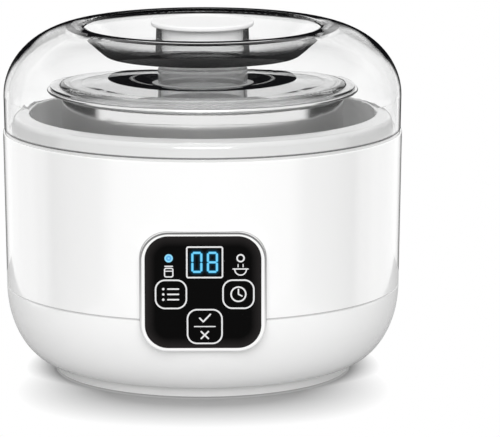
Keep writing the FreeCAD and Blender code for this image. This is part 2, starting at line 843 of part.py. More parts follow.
def dome_lid():
    """Clear dome: straight wall, rounded shoulder, crest, grip dish and hollow grip post."""
    inner_r, inner_z = dome_round_r - dome_wall, dome_round_z - dome_crest_wall
    foot_r = dome_radius - dome_flare
    crest = dish_crest
    crest_r = dome_centre[0] + crest_land
    crest_deg = math.degrees(math.acos(crest_land / dome_round_r))
    crest_z = dome_spring_z + dome_round_z * math.sin(math.radians(crest_deg))
    inner_deg = math.degrees(math.acos((crest_land + dome_wall) / inner_r))
    lip_r = crest_r - crest_width
    dish_rim_r = lip_r - crest
    rim_z = crest_z - crest
    under_z = dish_floor_z - dome_wall
    floor_edge = (dish_floor_radius, dish_floor_z)
    post_foot = (post_radius + post_root_round, dish_floor_z)
    under_edge = (dish_floor_radius + dome_wall * 0.4, under_z)
    under_rim = (dish_rim_r + dome_wall * 0.8, rim_z - dome_wall * 0.6)
    return turned([
        (foot_r, dome_low_z),
        oval_arc(dome_centre, dome_round_r, dome_round_z, 0, crest_deg),
        arc((crest_r, crest_z), (crest_r - crest_width / 2, crest_z + crest_swell), (lip_r, crest_z)),
        arc((lip_r, crest_z), (lip_r - crest * 0.7, crest_z - crest * 0.3), (dish_rim_r, rim_z)),
        eased_corner((dish_rim_r, rim_z), floor_edge, post_foot, dish_ease),
        arc(post_foot, (post_radius + post_root_round * 0.3, dish_floor_z + post_root_round * 0.3),
            (post_radius, dish_floor_z + post_root_round)),
        (post_top_radius, post_top_z),
        (post_bore, post_top_z),
        (post_bore, dish_floor_z),
        (0, dish_floor_z),
        (0, under_z),
        eased_corner((0, under_z), under_edge, under_rim, dish_ease),
        under_rim,
        oval_item_reversed(oval_arc(dome_centre, inner_r, inner_z, 0, inner_deg)),
        (foot_r - dome_wall, dome_low_z),
    ])


def lid_cap():
    """White cap that plugs into the grip post, with a shallow thumb dish."""
    plug = post_bore - fit_gap
    plug_low = post_top_z - cap_plug_depth
    plug_in = plug - cap_plug_wall
    under = cap_top_z - cap_height + cap_dish_depth
    edge = cap_round
    cap_dish = cap_radius - cap_dish_inset
    return turned([
        (plug, plug_low),
        (plug, post_top_z),
        (cap_radius - edge, post_top_z),
        round_corner((cap_radius, post_top_z), (-1, 0), (0, 1), edge),
        round_corner((cap_radius, cap_top_z), (0, -1), (-1, 0), edge),
        (cap_dish + cap_dish_depth * 2, cap_top_z),
        (cap_dish, cap_top_z - cap_dish_depth),
        (0, cap_top_z - cap_dish_depth),
        (0, under),
        (plug_in, under),
        (plug_in, plug_low),
    ])


def control_frame():
    """White surround that fills the panel opening, with a rear flange and board posts."""
    seat_width, seat_height = face_width + 2 * panel_gap, face_height + 2 * panel_gap
    seat_corner = face_corner + panel_gap
    rim = plate(frame_width, frame_height, frame_corner, 0, panel_z, -panel_front, -frame_flange_back)
    front_edges = [e for e in rim.Edges if abs(e.BoundBox.YMax + panel_front) < 0.01]
    rim = rim.makeFillet(frame_edge_round, front_edges)
    back = plate(frame_width + 2 * frame_flange_extra, frame_height + 2 * frame_flange_extra,
                 frame_corner + frame_flange_extra, 0, panel_z, -frame_flange_front, -frame_flange_back)
    body = joined(rim, back)
    body = body.cut(plate(seat_width, seat_height, seat_corner, 0, panel_z, -panel_front, -face_back))
    ledge = frame_ledge_width
    body = body.cut(plate(seat_width - 2 * ledge, seat_height - 2 * ledge, seat_corner - ledge, 0, panel_z,
                          -panel_front, -face_back + frame_ledge_thick))
    body = body.cut(plate(seat_width, seat_height, seat_corner, 0, panel_z,
                          -face_back + frame_ledge_thick, -frame_flange_back))
    posts = [rod(x, z, small_boss_radius, -frame_flange_front, -board_front) for x, z in board_holes()]
    body = joined(body, *posts)
    for x, z in board_holes():
        hole_end = -board_front - small_screw_length
        body = body.cut(rod(x, z, small_screw_radius + thread_play, hole_end, -board_front))
    return body


def board_holes():
    """(x, z) of the control board's screws."""
    return [(sx * board_screw_x, panel_z + sz * board_screw_z) for sx in (-1, 1) for sz in (-1, 1)]


def keys():
    """Name, centre and size of each push key."""
    return [
        ("mode_button", key_group_x - key_side_x, key_side_z, key_side_size),
        ("time_button", key_group_x + key_side_x, key_side_z, key_side_size),
        ("start_button", key_group_x, key_low_z, key_low_size),
    ]


def control_face():
    """Black front plate with openings for the keys, the window and the two lamps."""
    face = plate(face_width, face_height, face_corner, 0, panel_z, -face_front, -face_back)
    for _, x, z, (width, height) in keys():
        face = face.cut(plate(width + 2 * key_gap, height + 2 * key_gap, key_corner + key_gap, x, z,
                              -face_front, -face_back))
    width, height = window_size
    face = face.cut(plate(width + 2 * panel_gap, height + 2 * panel_gap, window_corner + panel_gap,
                          key_group_x, window_z, -face_front, -face_back))
    for side in (-1, 1):
        lamp_at = key_group_x + side * lamp_x
        face = face.cut(rod(lamp_at, lamp_z, lamp_radius + panel_gap, -face_front, -face_back))
    return face


def push_button(x, z, size):
    """Key with a retaining lip behind the face and a stem that reaches its switch."""
    width, height = size
    lip_front = face_back - seat_gap
    lip_back = lip_front - key_lip_thick
    cap = plate(width, height, key_corner, x, z, -face_front, -lip_back)
    lip = plate(width + 2 * key_lip, height + 2 * key_lip, key_corner + key_lip, x, z, -lip_front, -lip_back)
    stem = rod(x, z, key_stem_radius, -face_back, -stem_end)
    return joined(cap, lip, stem)


def display_window():
    """Tinted window in front of the digits."""
    width, height = window_size
    return plate(width, height, window_corner, key_group_x, window_z, -face_front, -face_back)


def indicator(side):
    """Lamp lens in the face plate, reaching back towards its diode."""
    return rod(key_group_x + side * lamp_x, lamp_z, lamp_radius, -face_front, -face_back + wall)


def led_display():
    """Two-digit display block on the control board."""
    width, height = digits_size
    depth = face_back - digits_gap - board_front
    return Part.makeBox(width, depth, height,
                        V(key_group_x - width / 2, -board_front - depth, window_z - height / 2))


def control_board():
    """Circuit board behind the panel."""
    board = Part.makeBox(board_width, board_thick, board_height,
                         V(-board_width / 2, -board_front, panel_z - board_height / 2))
    for x, z in board_holes():
        hole_radius = small_screw_radius + screw_play
        board = board.cut(rod(x, z, hole_radius, -board_front, -board_front + board_thick))
    return board


def board_screws():
    """Screws that hold the control board to the frame."""
    solids = []
    back = -board_front + board_thick
    for x, z in board_holes():
        head = rod(x, z, small_head_radius, back, back + small_head_height)
        shank = rod(x, z, small_screw_radius, back - small_screw_length, back)
        solids.append(joined(head, shank))
    return Part.makeCompound(solids)


def tact_switches():
    """One switch on the board behind each key."""
    solids = []
    for _, x, z, _ in keys():
        body = Part.makeBox(switch_size, switch_height, switch_size,
                            V(x - switch_size / 2, -switch_front, z - switch_size / 2))
        plunger = rod(x, z, switch_plunger_radius, -plunger_front, -board_front - switch_height / 2)
        solids.append(joined(body, plunger))
    return Part.makeCompound(solids)


def power_inlet():
    """Two-pole inlet at the back with a figure-of-eight recess."""
    front = inlet_front
    body = plate(inlet_width, inlet_height, inlet_corner, 0, inlet_z, inlet_back, front)
    flange = plate(inlet_width + 2 * inlet_flange_extra, inlet_height + 2 * inlet_flange_extra,
                   inlet_corner + inlet_flange_extra, 0, inlet_z,
                   inlet_flange_front - inlet_flange_thick, inlet_flange_front)
    body = joined(body, flange)
    half = inlet_pin_pitch / 2
    for side in (-1, 1):
        body = body.cut(rod(side * half, inlet_z, inlet_lobe_radius, front - inlet_recess, front))
    bridge = Part.makeBox(inlet_pin_pitch, inlet_recess, inlet_lobe_radius,
                          V(-half, front - inlet_recess, inlet_z - inlet_lobe_radius / 2))
    body = body.cut(bridge)
    for side in (-1, 1):
        body = body.cut(rod(side * half, inlet_z, inlet_pin_radius, inlet_back, front))
    return body


def inlet_pins():
    """The inlet's two contact pins, which reach back to the solder tails."""
    half = inlet_pin_pitch / 2
    front = inlet_front - inlet_recess + inlet_pin_length
    pins = [rod(side * half, inlet_z, inlet_pin_radius, inlet_back, front) for side in (-1, 1)]
    return Part.makeCompound(pins)


def supply_holes():
    """(x, y) of the power board's stand-offs."""
    dx, dy = supply_width / 2 - supply_hole_inset, supply_depth / 2 - supply_hole_inset
    return [(sx * dx, supply_y + sy * dy) for sx in (-1, 1) for sy in (-1, 1)]


def power_board():
    """Circuit board with the power supply and the heater relay."""
    board = block(0, supply_y, supply_width, supply_depth, supply_z, supply_z + board_thick)
    for x, y in supply_holes():
        board = board.cut(post(x, y, small_screw_radius + screw_play, supply_z, supply_z + board_thick))
    return board


def power_board_screws():
    """Screws down through the power board into the base plate's stand-offs."""
    top = supply_z + board_thick
    screw = joined(post(0, 0, small_head_radius, top, top + small_head_height),
                   post(0, 0, small_screw_radius, top - small_screw_length, top))
    return copies(screw, supply_holes())


def on_board(cx, cy, size):
    """Component block standing on the power board."""
    width, depth, height = size
    top = supply_z + board_thick
    return block(cx, cy, width, depth, top, top + height)


def transformer():
    """Small supply transformer."""
    return on_board(-supply_width / 4, supply_y, transformer_size)


def heater_relay():
    """Relay that switches the heater."""
    return on_board(supply_width / 4 - capacitor_radius, supply_y - relay_size[1] / 2, relay_size)


def filter_capacitor():
    """Electrolytic capacitor beside the relay."""
    top = supply_z + board_thick
    return post(supply_width / 4, supply_y + relay_size[1], capacitor_radius, top, top + capacitor_height)


def mains_leads():
    """Two insulated wires from the inlet's tails down to the power board."""
    half = inlet_pin_pitch / 2
    board_y = supply_y + supply_depth / 2 - supply_hole_inset
    top = supply_z + board_thick
    drop_y = inlet_back - lead_bend
    solids = []
    for side in (-1, 1):
        x = side * half
        points = [
            V(x, inlet_back, inlet_z),
            V(x, drop_y, inlet_z),
            V(x, drop_y, top + lead_bend),
            V(x, board_y, top + lead_bend),
            V(x, board_y, top),
        ]
        solids.append(lead(points, lead_radius, lead_bend / 2))
    return Part.makeCompound(solids)


def heater_leads():
    """Two wires from the rim of the heater down to the power board."""
    board_y = supply_y + supply_depth / 2 - supply_hole_inset
    top = supply_z + board_thick
    pad_z = (heater_low_z + well_base_z) / 2
    turn_y = heater_radius + lead_bend
    solids = []
    for side in (-1, 1):
        x = side * heater_lead_x
        start_y = math.sqrt(heater_radius ** 2 - x ** 2) + heater_lead_radius
        points = [
            V(x, start_y, pad_z),
            V(x, turn_y, pad_z),
            V(x, turn_y, top + lead_bend / 2),
            V(x, board_y, top + lead_bend / 2),
            V(x, board_y, top),
        ]
        solids.append(lead(points, heater_lead_radius, lead_bend / 3))
    return Part.makeCompound(solids)


def sensor_lead():
    """Short wire from the sensor straight down to the power board."""
    return post(0, 0, heater_lead_radius, supply_z + board_thick, well_base_z - sensor_height)


def panel_ribbon():
    """Flat cable from the power board forward under the well and up to the control board."""
    top = supply_z + board_thick
    back_y = -board_front + board_thick
    start_y = supply_y - supply_depth / 2 + lead_bend
    run_z = top + lead_bend / 2
    rise_y = back_y + lead_bend / 2
    points = [
        V(ribbon_x, start_y, top),
        V(ribbon_x, start_y, run_z),
        V(ribbon_x, rise_y, run_z),
        V(ribbon_x, rise_y, ribbon_board_z),
        V(ribbon_x, back_y, ribbon_board_z),
    ]
    half, thin = ribbon_width / 2, ribbon_thick / 2
    signs = ((-1, -1), (1, -1), (1, 1), (-1, 1))
    corners = [V(ribbon_x + sx * half, start_y + sy * thin, top) for sx, sy in signs]
    section = Part.makePolygon(corners + corners[:1])
    return bent_path(points, ribbon_thick).makePipeShell([section], True, False)


NODES = {
    "upper_housing": upper_housing,
    "lower_housing": lower_housing,
    "base_plate": base_plate,
    "rubber_feet": rubber_feet,
    "base_screws": base_screws,
    "shell_screws": shell_screws,
    "deck_ring": deck_ring,
    "heating_chamber": heating_chamber,
    "chamber_screws": chamber_screws,
    "insulation_sleeve": insulation_sleeve,
    "heater_pad": heater_pad,
    "heater_cover": heater_cover,
    "temperature_sensor": temperature_sensor,
    "sensor_clip": sensor_clip,
    "thermal_fuse": thermal_fuse,
    "inner_pot": inner_pot,
    "pot_lid": pot_lid,
    "pot_lid_seal": pot_lid_seal,
    "dome_lid": dome_lid,
    "lid_cap": lid_cap,
    "control_frame": control_frame,
    "control_face": control_face,
    "display_window": display_window,
    "led_display": led_display,
    "control_board": control_board,
    "board_screws": board_screws,
    "tact_switches": tact_switches,
    "power_inlet": power_inlet,
    "inlet_pins": inlet_pins,
    "power_board": power_board,
    "power_board_screws": power_board_screws,
    "transformer": transformer,
    "heater_relay": heater_relay,
    "filter_capacitor": filter_capacitor,
    "mains_leads": mains_leads,
    "heater_leads": heater_leads,
    "sensor_lead": sensor_lead,
    "panel_ribbon": panel_ribbon,
}


def main():
    """Builds every piece and writes one STEP file for each."""
    os.makedirs("parts", exist_ok=True)
    shapes = {name: make() for name, make in NODES.items()}
    for name, x, z, size in keys():
        shapes[name] = push_button(x, z, size)
    for name, side in (("left_indicator", -1), ("right_indicator", 1)):
        shapes[name] = indicator(side)
    for name, shape in shapes.items():
        solids = shape.Solids
        sound = all(s.isValid() and s.Volume > 0 for s in solids)
        print(f"{name}: {len(solids)} solids, {shape.Volume / 1000:.2f} cm3, sound {sound}")
        shape.exportStep(f"parts/{name}.step")


main()
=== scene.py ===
"""Looks of a round yogurt maker: white housing, clear dome and pot lid, steel pot and a black key panel."""

import logging
import math
from dataclasses import dataclass
from enum import Enum
from typing import ClassVar, Optional, Union

import bpy
from mathutils import Euler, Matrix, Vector

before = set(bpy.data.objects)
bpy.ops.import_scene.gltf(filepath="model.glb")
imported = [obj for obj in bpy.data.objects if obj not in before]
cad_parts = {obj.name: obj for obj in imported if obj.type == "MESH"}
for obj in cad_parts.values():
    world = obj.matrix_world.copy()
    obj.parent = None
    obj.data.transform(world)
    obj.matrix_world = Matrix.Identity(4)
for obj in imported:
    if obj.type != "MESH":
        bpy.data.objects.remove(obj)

log = logging.getLogger("yogurt_maker")

Pair = tuple[float, float]
Triple = tuple[float, float, float]
Names = tuple[str, ...]
Colour = Triple
Number = Union[float, "Wire"]

MM = 0.001
AXIS_GUARD = 0.0001
UNLIT: Colour = (0.0, 0.0, 0.0)
PLAIN_WHITE = (1.0, 1.0, 1.0, 1.0)


class Wire:
    """One shader output that takes part in Python expressions."""

    def __init__(self, graph: "Graph", socket: bpy.types.NodeSocket) -> None:
        """Keeps the graph that owns the socket."""
        self.graph = graph
        self.socket = socket

    def __add__(self, other: Number) -> "Wire":
        """Sum."""
        return self.graph.math("ADD", self, other)

    def __radd__(self, other: Number) -> "Wire":
        """Sum, reflected."""
        return self.graph.math("ADD", other, self)

    def __sub__(self, other: Number) -> "Wire":
        """Difference."""
        return self.graph.math("SUBTRACT", self, other)

    def __rsub__(self, other: Number) -> "Wire":
        """Difference, reflected."""
        return self.graph.math("SUBTRACT", other, self)

    def __mul__(self, other: Number) -> "Wire":
        """Product."""
        return self.graph.math("MULTIPLY", self, other)

    def __rmul__(self, other: Number) -> "Wire":
        """Product, reflected."""
        return self.graph.math("MULTIPLY", other, self)

    def __truediv__(self, other: Number) -> "Wire":
        """Quotient."""
        return self.graph.math("DIVIDE", self, other)

    def __rtruediv__(self, other: Number) -> "Wire":
        """Quotient, reflected."""
        return self.graph.math("DIVIDE", other, self)

    def __abs__(self) -> "Wire":
        """Magnitude."""
        return self.graph.math("ABSOLUTE", self)

    def __lt__(self, other: Number) -> "Wire":
        """1 where smaller, else 0."""
        return self.graph.math("LESS_THAN", self, other)

    def __gt__(self, other: Number) -> "Wire":
        """1 where greater, else 0."""
        return self.graph.math("GREATER_THAN", self, other)

    def lowest(self, other: Number) -> "Wire":
        """The smaller of the two."""
        return self.graph.math("MINIMUM", self, other)

    def highest(self, other: Number) -> "Wire":
        """The greater of the two."""
        return self.graph.math("MAXIMUM", self, other)

    def root(self) -> "Wire":
        """Square root."""
        return self.graph.math("SQRT", self)

    def clamped(self) -> "Wire":
        """Held between 0 and 1."""
        return self.graph.math("ADD", self, 0.0, clamp=True)

    def rise(self, start: float, span: float) -> "Wire":
        """0 up to the start, then a straight climb to 1 over the span."""
        return ((self - start) / span).clamped()

    def fall(self, end: float, span: float) -> "Wire":
        """1 until one span before the end, then a straight drop to 0."""
        return ((end - self) / span).clamped()


def length(first: Wire, second: Wire) -> Wire:
    """Length of a flat vector."""
    return (first * first + second * second).root()


@dataclass(frozen=True)
class Relief:
    """Noise that bends a surface: cells per metre, octaves, depth in metres, share used and any stretch."""

    cells: float
    detail: float
    depth: float
    strength: float
    stretch: Optional[Triple] = None


class Grain(Enum):
    """Surface relief of a finish."""

    POLISHED = Relief(90.0, 1.0, 0.00004, 0.03)
    MOULDED = Relief(160.0, 2.0, 0.00006, 0.05)
    SPARK = Relief(2600.0, 3.0, 0.00008, 0.35)
    TURNED = Relief(1.0, 3.0, 0.00003, 0.22, stretch=(6.0, 6.0, 2600.0))
    FELTED = Relief(900.0, 6.0, 0.0006, 0.8)
    CLEAR = Relief(40.0, 1.0, 0.00004, 0.03)
    PANEL = Relief(120.0, 2.0, 0.00004, 0.03)


class Graph:
    """Node tree of one material or world."""

    def __init__(self, tree: bpy.types.NodeTree) -> None:
        """Empties the tree.

        Args:
            tree: The node tree to fill.
        """
        self.tree = tree
        self.tree.nodes.clear()

    def add(self, kind: str, settings: Optional[dict] = None,
            sockets: Optional[dict] = None) -> bpy.types.Node:
        """Adds one node.

        Args:
            kind: The node's type name.
            settings: Attributes, set first.
            sockets: Values or wires for its inputs, by name or index.

        Returns:
            The new node.
        """
        node = self.tree.nodes.new(kind)
        for name, value in (settings or {}).items():
            setattr(node, name, value)
        for key, value in (sockets or {}).items():
            if isinstance(value, Wire):
                self.tree.links.new(value.socket, node.inputs[key])
            else:
                node.inputs[key].default_value = value
        return node

    def out(self, node: bpy.types.Node, key: Union[str, int] = 0) -> Wire:
        """Wraps one output of a node."""
        return Wire(self, node.outputs[key])

    def math(self, operation: str, first: Number, second: Number = 0.0, clamp: bool = False) -> Wire:
        """Adds a Math node.

        Args:
            operation: The Math node's operation.
            first: First operand.
            second: Second operand, where the operation has one.
            clamp: Whether the result is held between 0 and 1.

        Returns:
            The node's result.
        """
        node = self.add("ShaderNodeMath", {"operation": operation, "use_clamp": clamp}, {0: first, 1: second})
        return self.out(node)

    def blend(self, factor: Number, low: Union[Wire, Colour], high: Union[Wire, Colour]) -> Wire:
        """Mixes two colours.

        Args:
            factor: 0 gives low, 1 gives high.
            low: Colour or wire.
            high: Colour or wire.

        Returns:
            The mixed colour.
        """
        pair = [value if isinstance(value, Wire) else (*value, 1.0) for value in (low, high)]
        node = self.add("ShaderNodeMix", {"data_type": "RGBA"}, {0: factor, 6: pair[0], 7: pair[1]})
        return self.out(node, 2)

    def mixed(self, factor: Wire, low: bpy.types.Node, high: bpy.types.Node) -> bpy.types.Node:
        """Mixes two shaders: a factor of 0 gives low, 1 gives high."""
        return self.add("ShaderNodeMixShader", None, {0: factor, 1: self.out(low), 2: self.out(high)})

    def finish(self, shader: bpy.types.Node) -> None:
        """Shows a shader on the material's surface."""
        self.add("ShaderNodeOutputMaterial", None, {"Surface": self.out(shader)})

    def place(self) -> Wire:
        """Object coordinates, in metres."""
        return self.out(self.add("ShaderNodeTexCoord"), "Object")

    def normal(self) -> Wire:
        """The way that the surface faces."""
        return self.out(self.add("ShaderNodeNewGeometry"), "Normal")

    def axes(self, vector: Wire) -> tuple[Wire, Wire, Wire]:
        """Splits a vector into x, y and z."""
        node = self.add("ShaderNodeSeparateXYZ", None, {0: vector})
        return self.out(node, 0), self.out(node, 1), self.out(node, 2)

    def noise(self, vector: Wire, scale: float, detail: float) -> Wire:
        """Smooth noise about 0.5.

        Args:
            vector: Coordinates.
            scale: Cells per metre.
            detail: Octaves.

        Returns:
            The noise value.
        """
        node = self.add("ShaderNodeTexNoise", None, {"Vector": vector, "Scale": scale, "Detail": detail})
        return self.out(node, 0)

    def bent(self, vector: Wire, grain: Grain) -> Wire:
        """Normal bent by a grain.

        Args:
            vector: Coordinates.
            grain: The relief to use.

        Returns:
            The bent normal.
        """
        relief = grain.value
        if relief.stretch is not None:
            mapping = self.add("ShaderNodeMapping", None, {"Vector": vector, "Scale": relief.stretch})
            vector = self.out(mapping)
        height = self.noise(vector, relief.cells, relief.detail)
        sockets = {"Height": height, "Distance": relief.depth, "Strength": relief.strength}
        return self.out(self.add("ShaderNodeBump", None, sockets))


def new_material(name: str) -> tuple[bpy.types.Material, Graph]:
    """A named material and its empty graph."""
    material = bpy.data.materials.new(name)
    material.use_nodes = True
    return material, Graph(material.node_tree)


class Ink:
    """Flat printed shapes in the panel's x and z, as distances in metres that are negative inside."""

    def __init__(self, x: Wire, z: Wire) -> None:
        """Keeps the panel coordinates.

        Args:
            x: Panel x.
            z: Panel z.
        """
        self.x = x
        self.z = z

    def plate(self, centre: Pair, size: Pair, corner: float) -> Wire:
        """Distance to a rounded rectangle."""
        across = abs(self.x - centre[0]) - (size[0] / 2 - corner)
        along = abs(self.z - centre[1]) - (size[1] / 2 - corner)
        outside = length(across.highest(0.0), along.highest(0.0))
        return outside + across.highest(along).lowest(0.0) - corner

    def disc(self, centre: Pair, radius: float) -> Wire:
        """Distance to a disc."""
        return length(self.x - centre[0], self.z - centre[1]) - radius

    def stroke(self, start: Pair, end: Pair, width: float) -> Wire:
        """Distance to a round-ended line.

        Args:
            start: First end.
            end: Other end.
            width: Line width.

        Returns:
            The distance.
        """
        run = (end[0] - start[0], end[1] - start[1])
        square = run[0] ** 2 + run[1] ** 2
        px, pz = self.x - start[0], self.z - start[1]
        along = ((px * run[0] + pz * run[1]) / square).clamped()
        return length(px - along * run[0], pz - along * run[1]) - width / 2

    def band(self, distance: Wire, width: float) -> Wire:
        """The inner edge strip of a shape."""
        return abs(distance + width / 2) - width / 2

    def cover(self, *distances: Wire, soft: float) -> Wire:
        """Coverage from 0 to 1 of the union of shapes.

        Args:
            distances: Shapes to join.
            soft: Width of the printed edge.

        Returns:
            The coverage.
        """
        joined = distances[0]
        for other in distances[1:]:
            joined = joined.lowest(other)
        return (0.5 - joined / soft).clamped()


@dataclass(frozen=True)
class Finish:
    """An opaque finish with colour drift, uneven gloss and a fine relief.

    Inside is the colour of the faces that look into a vessel. The joint height is where a parting line runs,
    and its groove gets a painted grey shadow line.
    """

    WIDE: ClassVar[Pair] = (14.0, 3.0)
    FINE: ClassVar[Pair] = (420.0, 2.0)
    ROUGH_BASE: ClassVar[float] = 0.85
    ROUGH_WIDE: ClassVar[float] = 0.2
    ROUGH_FINE: ClassVar[float] = 0.1
    INSIDE_ROUGH: ClassVar[float] = 0.16
    INSIDE_TILT: ClassVar[float] = 0.35
    INSIDE_RADIUS: ClassVar[float] = 0.0695
    JOINT_SHADE_CORE: ClassVar[float] = 1.4
    JOINT_SHADE_HALF: ClassVar[float] = 0.0005
    JOINT_SHADE_SHARE: ClassVar[float] = 0.5
    JOINT_SHADE_GREY: ClassVar[Colour] = (0.30, 0.30, 0.30)
    COAT_ROUGH: ClassVar[float] = 0.04

    name: str
    colour: Colour
    roughness: float
    grain: Grain = Grain.MOULDED
    metallic: float = 0.0
    coat: float = 0.0
    drift: float = 0.03
    specular: float = 0.5
    inside: Optional[Colour] = None
    joint_shade: Optional[float] = None

    def inner_mask(self, graph: Graph, place: Wire) -> Wire:
        """1 on faces that look towards the vertical axis or up from inside the rim, else 0.

        Args:
            graph: Graph to add nodes to.
            place: Object coordinates.

        Returns:
            The mask.
        """
        x, y, _ = graph.axes(place)
        nx, ny, nz = graph.axes(graph.normal())
        radius = length(x, y).highest(AXIS_GUARD)
        inward = (x * nx + y * ny) / radius < -self.INSIDE_TILT
        return inward.highest((nz > self.INSIDE_TILT) * (radius < self.INSIDE_RADIUS))

    def make(self) -> bpy.types.Material:
        """Builds the material.

        Returns:
            A new material.
        """
        material, graph = new_material(self.name)
        place = graph.place()
        wide = graph.noise(place, *self.WIDE)
        fine = graph.noise(place, *self.FINE)
        dim = tuple(channel * (1.0 - self.drift) for channel in self.colour)
        colour = graph.blend(wide, dim, self.colour)
        roughness = self.roughness * (self.ROUGH_BASE + wide * self.ROUGH_WIDE + fine * self.ROUGH_FINE)
        if self.inside is not None:
            inner = self.inner_mask(graph, place)
            colour = graph.blend(inner, colour, self.inside)
            roughness = roughness + inner * self.INSIDE_ROUGH
        # Painted shade: a grey shadow line along the groove of the parting line.
        if self.joint_shade is not None:
            line = (self.JOINT_SHADE_CORE - abs(graph.axes(place)[2] - self.joint_shade) / self.JOINT_SHADE_HALF).clamped()
            colour = graph.blend(line * self.JOINT_SHADE_SHARE, colour, self.JOINT_SHADE_GREY)
        graph.finish(graph.add("ShaderNodeBsdfPrincipled", None, {
            "Base Color": colour,
            "Roughness": roughness,
            "Metallic": self.metallic,
            "Coat Weight": self.coat,
            "Coat Roughness": self.COAT_ROUGH,
            "Specular IOR Level": self.specular,
            "Normal": graph.bent(place, self.grain),
        }))
        return material


@dataclass(frozen=True)
class ClearFinish:
    """Clear moulded plastic that bends light, with painted dark edges where it is seen at a glance: a
    near-black matte share stands in for dark refraction and reflection.

    Each edge pair holds the facing values (0 square on, 1 edge on) at which the darkening starts and is full.
    The floor is the flat part inside floor_radius, with a painted dark patch, standing in for a dark
    reflection, that may be shifted and stretched along y, and a paler ring in it. The crest, wall, post, foot
    and sloped underside are told apart by radius, height and tilt; the sloped underside and the foot get
    painted dark shade as well. The knob gets a painted grey share and the front of the rim a painted pale
    share, in place of the light they show through the plastic.
    """

    NEVER: ClassVar[Pair] = (2.0, 3.0)
    DARK_EDGE: ClassVar[Pair] = (0.76, 0.84)
    CREST_EDGE: ClassVar[Pair] = (0.70, 0.75)
    END_EDGE: ClassVar[Pair] = (0.835, 0.90)
    WALL_EDGE: ClassVar[Pair] = (0.88, 0.96)
    ENDS_RISE: ClassVar[Pair] = (0.45, 0.3)
    FLOOR_TILT: ClassVar[float] = 0.85
    RING_CORE: ClassVar[float] = 1.2
    RING_HALF: ClassVar[float] = 0.0012
    RING_FADE: ClassVar[float] = 0.3
    CREST_SPAN: ClassVar[float] = 0.006
    WALL_SPAN: ClassVar[float] = 0.015
    WALL_FADE: ClassVar[float] = 0.35
    UNDER_SPAN: ClassVar[float] = 0.005
    UNDER_TILT: ClassVar[Pair] = (-0.995, -0.1)
    FOOT_SHADE_SHARE: ClassVar[float] = 0.45
    KNOB_SHARE: ClassVar[float] = 0.2
    RIM_FRONT: ClassVar[Pair] = (-0.036, 0.02)
    HAZE: ClassVar[Pair] = (60.0, 3.0)
    HAZE_DIM: ClassVar[float] = 0.99
    ROUGH_BASE: ClassVar[float] = 0.7
    ROUGH_HAZE: ClassVar[float] = 0.6
    ROUGHNESS: ClassVar[float] = 0.012
    EDGE_ROUGH: ClassVar[float] = 0.5
    IOR: ClassVar[float] = 1.49
    EDGE_SHADE_COLOUR: ClassVar[Colour] = (0.006, 0.006, 0.007)
    KNOB_PAINTED_GREY: ClassVar[Colour] = (0.42, 0.42, 0.42)
    RIM_PAINTED_PALE: ClassVar[Colour] = (0.90, 0.90, 0.90)

    name: str
    tint: Colour
    edge: Pair
    floor_radius: float
    dark_radius: float
    dark_soft: float
    dark_shift: float = 0.0
    dark_stretch: float = 1.0
    dark_ring: float = 0.0
    under_radius: float = 0.0
    under_top: float = 0.0
    crest_low: float = 1.0
    wall_top: float = 0.0
    post_radius: float = 0.0
    foot_top: float = 0.0
    knob_radius: float = 0.0
    knob_low: float = 0.0
    rim_radius: float = 1.0
    rim_share: float = 0.0
    gloss: float = 0.08

    def knob(self, graph: Graph, place: Wire) -> Wire:
        """1 on the knob, which gets a painted grey share, else 0."""
        x, y, z = graph.axes(place)
        return (length(x, y) < self.knob_radius) * (z > self.knob_low)

    def rim(self, graph: Graph, place: Wire) -> Wire:
        """1 on the front of the rim, which gets a painted pale share, falling to 0 at its sides."""
        x, y, _ = graph.axes(place)
        return (length(x, y) > self.rim_radius) * y.fall(*self.RIM_FRONT)

    def darkening(self, graph: Graph, place: Wire) -> Wire:
        """Share of painted dark shade, from 0 to 1, by angle and by place.

        Args:
            graph: Graph to add nodes to.
            place: Object coordinates.

        Returns:
            The share of painted dark shade.
        """
        x, y, z = graph.axes(place)
        _, _, nz = graph.axes(graph.normal())
        radius = length(x, y).highest(AXIS_GUARD)
        # Painted dark patch on the floor, standing in for a dark reflection, with a paler painted ring in it.
        off = length(x, (y - self.dark_shift) * self.dark_stretch)
        ring = (self.RING_CORE - abs(off - self.dark_ring) / self.RING_HALF).clamped()
        dark = off.fall(self.dark_radius, self.dark_soft)
        post = radius < self.post_radius
        floor = (abs(nz) > self.FLOOR_TILT) * (radius < self.floor_radius) * (1.0 - post)
        outward = graph.add("ShaderNodeCombineXYZ", None, {0: x / radius, 1: y / radius})
        ends = self.facing(graph, graph.out(outward)).rise(*self.ENDS_RISE)
        crest = z.rise(self.crest_low, self.CREST_SPAN) * (1.0 - floor) * (1.0 - post)
        wall = z.fall(self.wall_top, self.WALL_SPAN) * (1.0 - floor)
        zones = (
            (floor * dark, self.DARK_EDGE),
            (post + floor * (1.0 - dark), self.NEVER),
            (wall, self.WALL_EDGE),
            (crest * (1.0 - ends), self.CREST_EDGE),
            (crest * ends, self.END_EDGE),
        )
        low, high = self.edge
        for zone, edge in zones:
            low = low + zone * (edge[0] - self.edge[0])
            high = high + zone * (edge[1] - self.edge[1])
        glance = ((self.facing(graph) - low) / (high - low)).clamped()
        share = glance * (1.0 - wall * self.WALL_FADE) * (1.0 - ring * floor * self.RING_FADE)
        # Painted dark shade on the sloped underside, and a painted dark band at the dome's foot along the seam.
        steepest, flattest = self.UNDER_TILT
        sloped = (nz < flattest) * (nz > steepest) * (radius < self.under_radius)
        under = sloped * z.fall(self.under_top, self.UNDER_SPAN)
        return share.highest(under).highest((z < self.foot_top) * self.FOOT_SHADE_SHARE)

    def facing(self, graph: Graph, normal: Optional[Wire] = None) -> Wire:
        """How far a direction, or else the surface, turns from the viewer: 0 square on, 1 edge on."""
        sockets = {"Blend": 0.5} if normal is None else {"Blend": 0.5, "Normal": normal}
        return graph.out(graph.add("ShaderNodeLayerWeight", None, sockets), "Facing")

